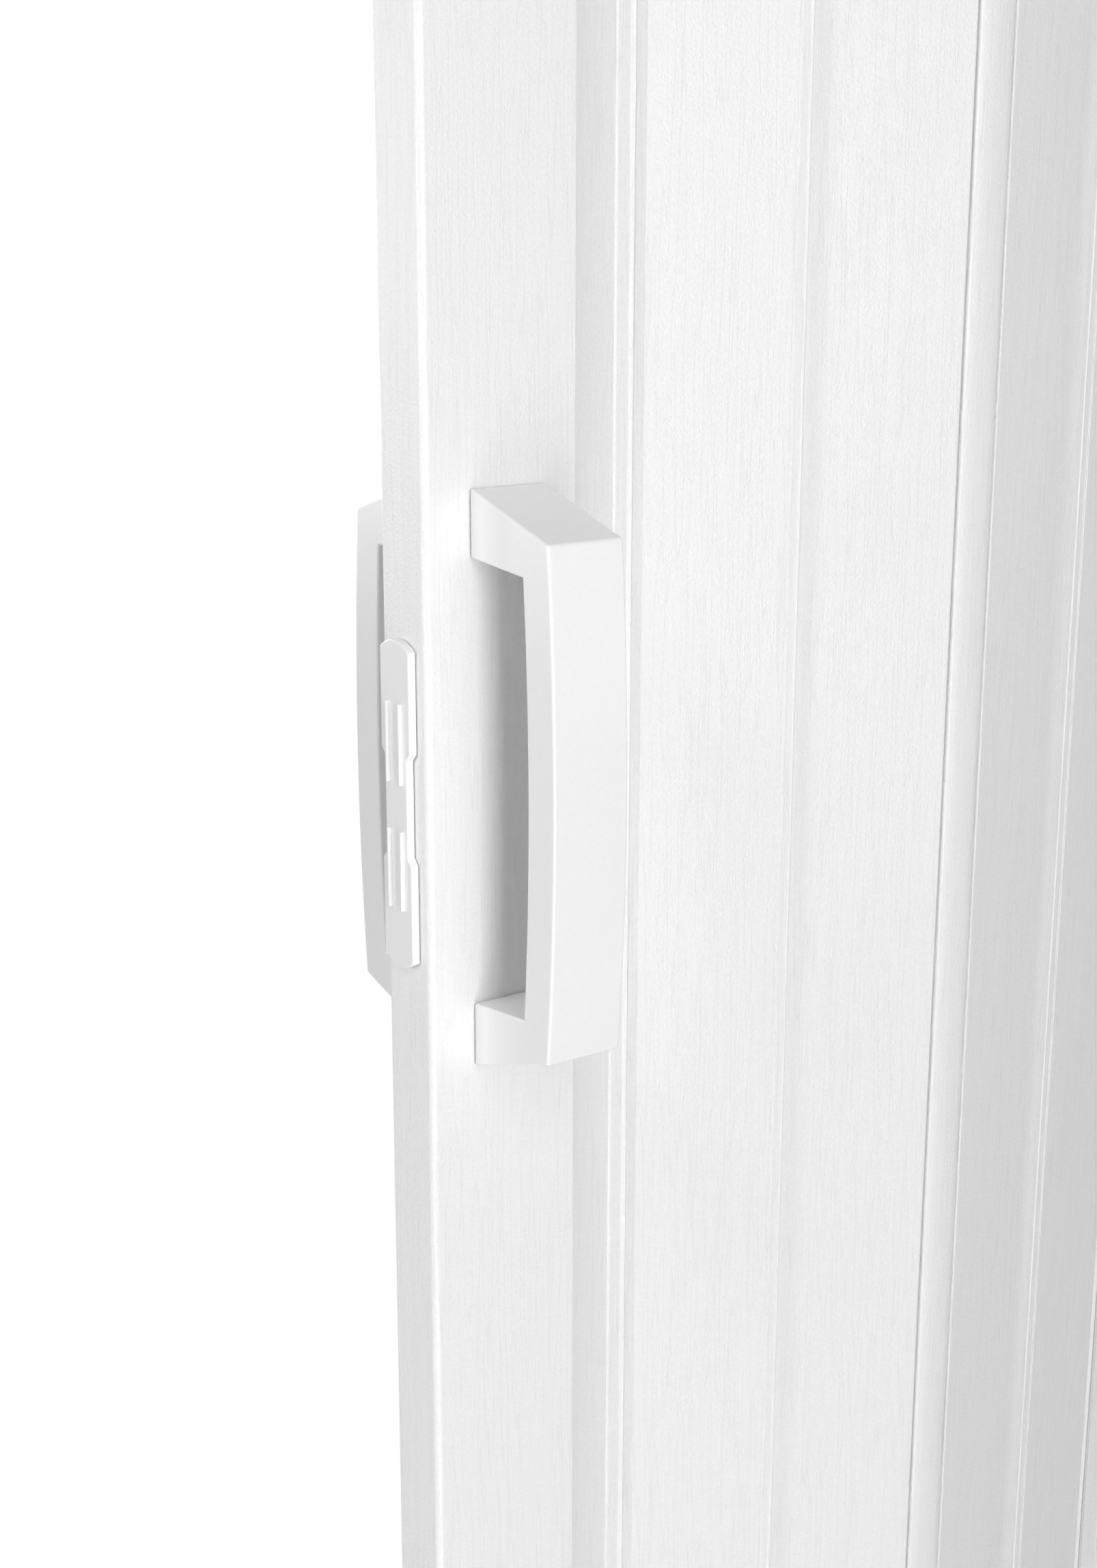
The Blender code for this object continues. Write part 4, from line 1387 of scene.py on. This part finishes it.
@dataclass
class BowHandle(SubAssembly):
    """A moulded pull handle on each face of the post, bolted through it."""

    post: LeadPost
    height: float = 0.175
    slope: float = 0.0119
    leg_foot: float = 0.0199
    leg_front: float = 0.0105
    width: float = 0.026
    reach: float = 0.0381
    bow: float = 0.0032
    grip: float = 0.0122
    edge: float = 0.0008
    insert_radius: float = 0.0025
    insert_length: float = 0.0100
    insert_margin: float = 0.0010
    insert_chamfer: float = 0.0003
    groove: float = 0.0004
    bore_extra: float = 0.002
    bore_cut: float = 0.1  # how far out the body reaches that cuts a screw's hole
    screw_short: float = 0.001
    head_radius: float = 0.0026
    head: float = 0.0022
    thread_pitch: float = 0.0007
    thread_depth: float = 0.0002
    thread_length: float = 0.012
    recess: float = 0.0240
    plug: float = 0.0030
    plug_edge: float = 0.0004

    @property
    def foot(self) -> float:
        """Distance from the middle of the post to a handle's foot."""
        return self.post.depth / 2 + GAP

    @property
    def head_seat(self) -> float:
        """Distance from the middle of the post to the seat of a screw head."""
        return self.foot + self.reach - self.recess

    def draw(self, pen: Pen) -> Pen:
        """Draws the upper half from the side: X out from the post, Y up from the middle.

        Args:
            pen: its origin is the foot of the handle's middle.

        Returns:
            The pen.
        """
        foot = self.height / 2
        front = foot - self.slope
        hole_foot, hole_front = foot - self.leg_foot, front - self.leg_front
        inner = self.reach - self.grip
        rise = self.bow * (hole_front / front) ** 2
        self.draw_bow(pen, self.reach, front, self.bow).line((0.0, foot))
        self.draw_bow(pen, inner, hole_front, rise)
        return pen.line((0.0, hole_foot), (0.0, foot))

    def draw_bow(self, pen: Pen, out: float, half: float, rise: float) -> Pen:
        """Draws half of a bow from its middle to its end.

        Args:
            pen: its origin is the foot of the handle's middle.
            out: X of the bow's end.
            half: half of its length.
            rise: how far its middle stands further out.

        Returns:
            The pen.
        """
        radius = (half * half + rise * rise) / (2 * rise)
        pen.move(out + rise, 0.0)
        pen.arc((out + rise - radius, 0.0), degrees(asin(half / radius)), 0.3)
        return pen.line((out, half))

    def build(self, side: Face) -> None:
        """Makes one handle.

        Args:
            side: the face it is on.
        """
        work = self.draw(Pen()).repeat_mirrored("Y").extrude(-self.width / 2, self.width / 2)
        put(work, Matrix(((0, 0, 1, 0), (side.value, 0, 0, 0), (0, 1, 0, 0), (0, 0, 0, 1))))
        ease(work, self.edge, 4, 20.0)
        put(work, Matrix.Translation((0, side.value * self.foot, 0)))
        work = combine(work, self.bores(side), "DIFFERENCE")
        seat = self.post.seat.shifted(
            self.post.base + self.post.handle_offset, 0, self.post.handle_height
        )
        self.shop.piece(f"{side.name.lower()}_handle", work, Slot.GLOSS, seat)

    def bores(self, side: Face) -> list[Mesh]:
        """The bodies to cut from the legs: a blind hole each at the front, stepped behind.

        Args:
            side: the handle's face.

        Returns:
            The bodies.
        """
        if side is Face.FRONT:
            depth = self.foot + self.insert_margin + self.insert_length + 2 * GAP
            low, high = -depth - self.bore_extra, -self.post.depth / 2 + self.bore_extra
            sizes = [(self.insert_radius + SMALL_GAP, low, high, 32)]
        else:
            sizes = [
                (self.post.screw_radius + GAP, 0.0, self.bore_cut, 24),
                (self.head_radius + GAP, self.head_seat, self.bore_cut, 32),
            ]
        places = (
            Matrix.Translation((0, 0, end * self.post.screw_spacing / 2)) @ TURN_Z_TO_Y
            for end in ENDS
        )
        return [rod(*size, place) for place in places for size in sizes]

    def build_fixings(self) -> None:
        """Makes the screws, the brass inserts and the covers over the screw heads."""
        inner = self.foot + self.insert_margin
        under = self.head_seat + GAP
        length = under + inner + self.insert_length - self.screw_short
        screw = Screw(
            self.post.screw_radius, length, self.head_radius, self.head,
            self.thread_pitch, self.thread_depth, length - self.thread_length,
        )
        face = self.foot + self.reach - GAP
        for end, name in ((1, "upper"), (-1, "lower")):
            place = Matrix.Translation(self.post.screw_place(end)) @ TURN_Z_TO_Y
            seat = Seat(Body.POST.value, self.post.seat.matrix @ place)
            self.shop.piece(f"handle_screw_{name}", screw.body(under), Slot.ZINC, seat)
            pen = Pen().crown(self.head_radius, face, self.plug_edge)
            pen.line((self.head_radius, face - self.plug), (0.0, face - self.plug))
            self.shop.piece(f"screw_cover_{name}", pen.turn(36), Slot.GLOSS, seat)
            self.shop.piece(f"threaded_insert_{name}", self.insert(inner), Slot.BRASS, seat)

    def insert(self, inner: float) -> Mesh:
        """A grooved brass sleeve along -Z.

        Args:
            inner: depth of its near end.

        Returns:
            The body.
        """
        bore, out, cut = self.post.screw_radius + SMALL_GAP, self.insert_radius, self.groove
        chamfer = out - self.insert_chamfer
        pen = Pen().move(bore, -inner).line((chamfer, -inner), (out, -inner - cut))
        for number in (1, 2):
            height = -inner - number * self.insert_length / 3
            pen.line((out, height + 2 * cut), (out - cut, height + cut))
            pen.line((out - cut, height - cut), (out, height - 2 * cut))
        low = -inner - self.insert_length
        pen.line((out, low + cut), (chamfer, low), (bore, low), (bore, -inner))
        bmesh.ops.remove_doubles(pen.work, verts=pen.work.verts, dist=SAME_PLACE)
        return pen.turn(32)


@dataclass
class WallProfile(SubAssembly):
    """The fixed profile on the wall side: a hinge socket, screw holes, a stop in its foot."""

    pivot: float = 0.014
    width: float = 0.036
    base: float = 0.0022
    root_half: float = 0.0075
    cove_run: float = 0.0090
    lip: float = 0.0045
    lip_thickness: float = 0.0015
    edge: float = 0.0003
    hole_radius: float = 0.00225
    hole_offset: float = 0.0128
    hole_count: int = 4
    hole_margin: float = 0.130

    def draw_side(self, pen: Pen, side: Face) -> Pen:
        """Draws one side from the socket's band to the middle of the wall face.

        Args:
            pen: its origin is the hinge's axis.
            side: the side.

        Returns:
            The pen.
        """
        face, half = self.pivot - self.base, self.width / 2
        drop = self.root_half - HINGE.profile_half
        radius = (self.cove_run**2 + drop**2) / (2 * drop)
        cove = face - self.cove_run
        pen.frame((1, -side.value)).move(cove, -HINGE.profile_half)
        pen.arc((cove, -HINGE.profile_half - radius), -degrees(asin(self.cove_run / radius)), 2)
        inside, lip = half - self.lip_thickness, face - self.lip
        pen.line((face, -inside), (lip, -inside), (lip, -half + self.edge))
        return pen.line((lip + self.edge, -half), (self.pivot, -half), (self.pivot, 0.0))

    def build(self) -> None:
        """Makes the profile and the stop under its socket."""
        seat = self.shop.seat("panel_4_hinge", Body.FIXED.value)
        pen = Pen()
        for side in Face:
            self.draw_side(pen, side)
        band = self.cove_run - self.pivot + self.base
        pen.frame((-1, -1)).move(band, -HINGE.profile_half)
        HINGE.draw_socket(HINGE.draw_edge(pen)).line((band, HINGE.profile_half))
        low, high = DOOR_BOTTOM, -TRACK_HEIGHT - GAP
        holes = []
        for height in spread(low, high, self.hole_margin, self.hole_count):
            place = Matrix.Translation((self.pivot, self.hole_offset, height)) @ TURN_Z_TO_X
            holes.append(rod(self.hole_radius, -BEYOND, BEYOND, 24, place))
        work = combine(pen.extrude(low, high), holes, "DIFFERENCE", "MANIFOLD")
        self.shop.piece("wall_profile", work, Slot.PVC, seat)
        top, radius = LEAF_BOTTOM - GAP, HINGE.bead_radius
        pen = Pen().move(0.0, top).line((radius - self.edge, top), (radius, top - self.edge))
        pen.line((radius, low), (0.0, low))
        self.shop.piece("wall_hinge_stop", pen.turn(32), Slot.NYLON, seat)


@dataclass
class Track(SubAssembly):
    """The enamelled channel under the lintel, with a pressed-in cap at each end."""

    width: float = 0.036
    slot: float = 0.013
    top_edge: float = 0.0006
    low_edge: float = 0.001
    lip_edge: float = 0.0003
    half_doorway: float = 0.305
    hole_radius: float = 0.00225
    hole_count: int = 3
    hole_margin: float = 0.060
    cap_plate: float = 0.0020
    cap_plug: float = 0.0050
    cap_edge: float = 0.0005

    @property
    def end(self) -> float:
        """X of the channel's end."""
        return self.half_doorway - self.cap_plate - GAP

    def build(self) -> None:
        """Makes the channel and its caps."""
        half, slot, inner = self.width / 2, self.slot / 2, self.width / 2 - TRACK_WALL
        low, floor, lip = -TRACK_HEIGHT, TRACK_WALL - TRACK_HEIGHT, self.lip_edge
        pen = Pen().move(0.0, 0.0).line((half - self.top_edge, 0.0))
        pen.arc((half - self.top_edge, -self.top_edge), -90, 22.5)
        pen.line((half, low + self.low_edge))
        pen.arc((half - self.low_edge, low + self.low_edge), -90, 18)
        pen.line((slot + lip, low), (slot, low + lip), (slot, floor - lip), (slot + lip, floor))
        pen.line((inner, floor), (inner, -TRACK_WALL), (0.0, -TRACK_WALL))
        work = put(pen.repeat_mirrored("X").extrude(-self.end, self.end), LAY_ALONG_X)
        holes = [
            rod(self.hole_radius, -BEYOND, BEYOND, 28, Matrix.Translation((x, 0, 0)))
            for x in spread(-self.end, self.end, self.hole_margin, self.hole_count)
        ]
        seat = Seat(Body.FIXED.value, Matrix())
        self.shop.piece("top_track", combine(work, holes, "DIFFERENCE"), Slot.ENAMEL, seat)
        for side, name in ((-1, "closing"), (1, "wall")):
            self.shop.piece(f"track_cap_{name}", self.cap(side), Slot.GLOSS, seat)

    def cap(self, side: int) -> Mesh:
        """Makes one end cap.

        Args:
            side: -1 at the closing end, 1 at the wall end.

        Returns:
            The body.
        """
        half, inner = self.width / 2, self.width / 2 - TRACK_WALL - GAP
        near, far = sorted((side * (self.end + GAP), side * self.half_doorway))
        plate = ease(block((near, -half, -TRACK_HEIGHT), (far, half, 0.0)), self.cap_edge)
        tip, root = self.end - self.cap_plug, self.half_doorway - self.cap_plate / 2
        near, far = sorted((side * tip, side * root))
        low, high = -TRACK_HEIGHT + TRACK_WALL + GAP, -TRACK_WALL - GAP
        return combine(plate, [block((near, -inner, low), (far, inner, high))])


@dataclass(frozen=True)
class Lamp:
    """A soft rectangular lamp aimed at a point."""

    name: str
    place: Place
    aim: Place
    width: float
    height: float
    power: float

    def build(self) -> None:
        """Adds the lamp."""
        data = bpy.data.lights.new(self.name, "AREA")
        data.shape = "RECTANGLE"
        data.size, data.size_y, data.energy = self.width, self.height, self.power
        item = bpy.data.objects.new(self.name, data)
        item.location = self.place
        towards = Vector(self.aim) - Vector(self.place)
        item.rotation_euler = towards.to_track_quat("-Z", "Y").to_euler()
        bpy.context.scene.collection.objects.link(item)


DOOR_MIDDLE = (-0.15, 0.0, -1.0)
LAMPS = (
    Lamp("front_softbox", (-0.15, -2.39, -0.79), DOOR_MIDDLE, 0.9, 0.9, 10.0),
    Lamp("front_strip_softbox", (-0.46, -0.80, -1.0), (-0.30, 0.0, -1.0), 0.25, 1.7, 6.2),
    Lamp("side_softbox", (-2.50, 0.42, -0.79), DOOR_MIDDLE, 0.9, 0.9, 17.0),
    Lamp("upper_softbox", (-1.82, -0.30, 0.70), DOOR_MIDDLE, 0.9, 0.9, 10.0),
    Lamp("rear_softbox", (-1.35, 2.07, -0.79), DOOR_MIDDLE, 0.9, 0.9, 7.0),
    Lamp("back_softbox", (0.45, 2.60, -0.60), (0.0, 0.0, -1.0), 1.6, 1.6, 22.0),
)


@dataclass
class Studio:
    """Pale floor, white surroundings, soft lamps and the camera at the photograph's angle."""

    ambient: float = 0.15
    floor_colour: str = "E8E8E8"
    floor_roughness: float = 0.7
    floor_radius: float = 6.0
    floor_gap: float = 0.0002
    fade: Point = (0.65, 0.95)
    camera_place: Place = (-0.61794, -0.5285, -0.8487)
    camera_yaw: float = 35.68
    camera_pitch: float = 14.53
    lens: float = 50.0
    sensor: float = 36.0
    clip_start: float = 0.01

    def build(self) -> None:
        """Builds the whole studio."""
        self.build_world()
        self.build_floor()
        self.build_camera()
        for lamp in LAMPS:
            lamp.build()
        bpy.context.scene.view_settings.view_transform = "Standard"

    def build_world(self) -> None:
        """White for the camera, gloss and glass, and plain grey light for the rest."""
        world = bpy.data.worlds.new("studio")
        bpy.context.scene.world = world
        world.use_nodes = True
        tree = world.node_tree
        path = add_node(tree, "LightPath")
        direct = path.outputs["Is Glossy Ray"]
        for other in ("Is Transmission Ray", "Is Camera Ray"):
            larger = {"operation": "MAXIMUM"}
            direct = add_node(tree, "Math", larger, i0=direct, i1=path.outputs[other]).outputs[0]
        levels = {"To Min": self.ambient, "To Max": 1.0}
        seen = add_node(tree, "MapRange", levels, Value=direct)
        back = tree.nodes["Background"]
        back.inputs["Color"].default_value = (1.0, 1.0, 1.0, 1.0)
        tree.links.new(seen.outputs[0], back.inputs["Strength"])

    def build_floor(self) -> None:
        """A wide floor that keeps the door's shadow near it and turns white further off."""
        work = bmesh.new()
        place = Matrix.Translation((0, 0, DOOR_BOTTOM - self.floor_gap))
        bmesh.ops.create_circle(
            work, cap_ends=True, segments=96, radius=self.floor_radius, matrix=place
        )
        mesh = bpy.data.meshes.new("floor")
        work.to_mesh(mesh)
        work.free()
        floor = bpy.data.objects.new("floor", mesh)
        bpy.context.scene.collection.objects.link(floor)
        mesh.materials.append(self.floor_paint())

    def floor_paint(self) -> bpy.types.Material:
        """Matt floor paint, which the camera sees fade to white away from the door.

        Returns:
            The material.
        """
        made = bpy.data.materials.new("painted_studio_floor")
        made.use_nodes = True
        tree = made.node_tree
        shader = tree.nodes["Principled BSDF"]
        shader.inputs["Base Color"].default_value = linear(self.floor_colour)
        shader.inputs["Roughness"].default_value = self.floor_roughness
        where = add_node(tree, "TexCoord").outputs["Object"]
        away = add_node(tree, "VectorMath", {"operation": "LENGTH"}, i0=where).outputs["Value"]
        ends = {"From Min": self.fade[0], "From Max": self.fade[1]}
        fade = add_node(tree, "MapRange", ends, Value=away).outputs[0]
        seen = add_node(tree, "LightPath").outputs["Is Camera Ray"]
        share = add_node(tree, "Math", {"operation": "MULTIPLY"}, i0=fade, i1=seen).outputs[0]
        white = add_node(tree, "Emission", {"Strength": 1.0}).outputs[0]
        mix = add_node(tree, "MixShader", i0=share, i1=shader.outputs[0], i2=white).outputs[0]
        tree.links.new(mix, tree.nodes["Material Output"].inputs["Surface"])
        return made

    def build_camera(self) -> None:
        """A 50 mm view from the closing side, a little above the handle."""
        data = bpy.data.cameras.new("view")
        data.lens, data.sensor_width, data.clip_start = self.lens, self.sensor, self.clip_start
        item = bpy.data.objects.new("view", data)
        item.location = self.camera_place
        item.rotation_euler = (radians(90 - self.camera_pitch), 0.0, radians(-self.camera_yaw))
        bpy.context.scene.collection.objects.link(item)
        bpy.context.scene.camera = item


def panel_pitch(shop: Workshop) -> float:
    """Distance between the two bead centres of a panel, from the axes at its ends."""
    near, far = shop.axis("panel_4_hinge"), shop.axis("hinge_strip_3_hinge")
    return hypot(near[0] - far[0], near[1] - far[1])


def main() -> None:
    """Builds the finishes, every sub-assembly and the studio."""
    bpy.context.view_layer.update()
    shop = Workshop(make_finishes(), frame["joints"])
    Track(shop).build()
    WallProfile(shop).build()
    panel, strip, post = Panel(shop, panel_pitch(shop)), HingeStrip(shop), LeadPost(shop)
    for number in range(4, 0, -1):
        panel.build(number)
    for number in range(3, 0, -1):
        strip.build(number)
    post.build()
    Glider(shop).build_on_post(post.seat, post.glider_places)
    LatchPlate(shop, post).build()
    handle = BowHandle(shop, post)
    for side in Face:
        handle.build(side)
    handle.build_fixings()
    Studio().build()
    bpy.context.view_layer.update()


if __name__ == "__main__":
    main()
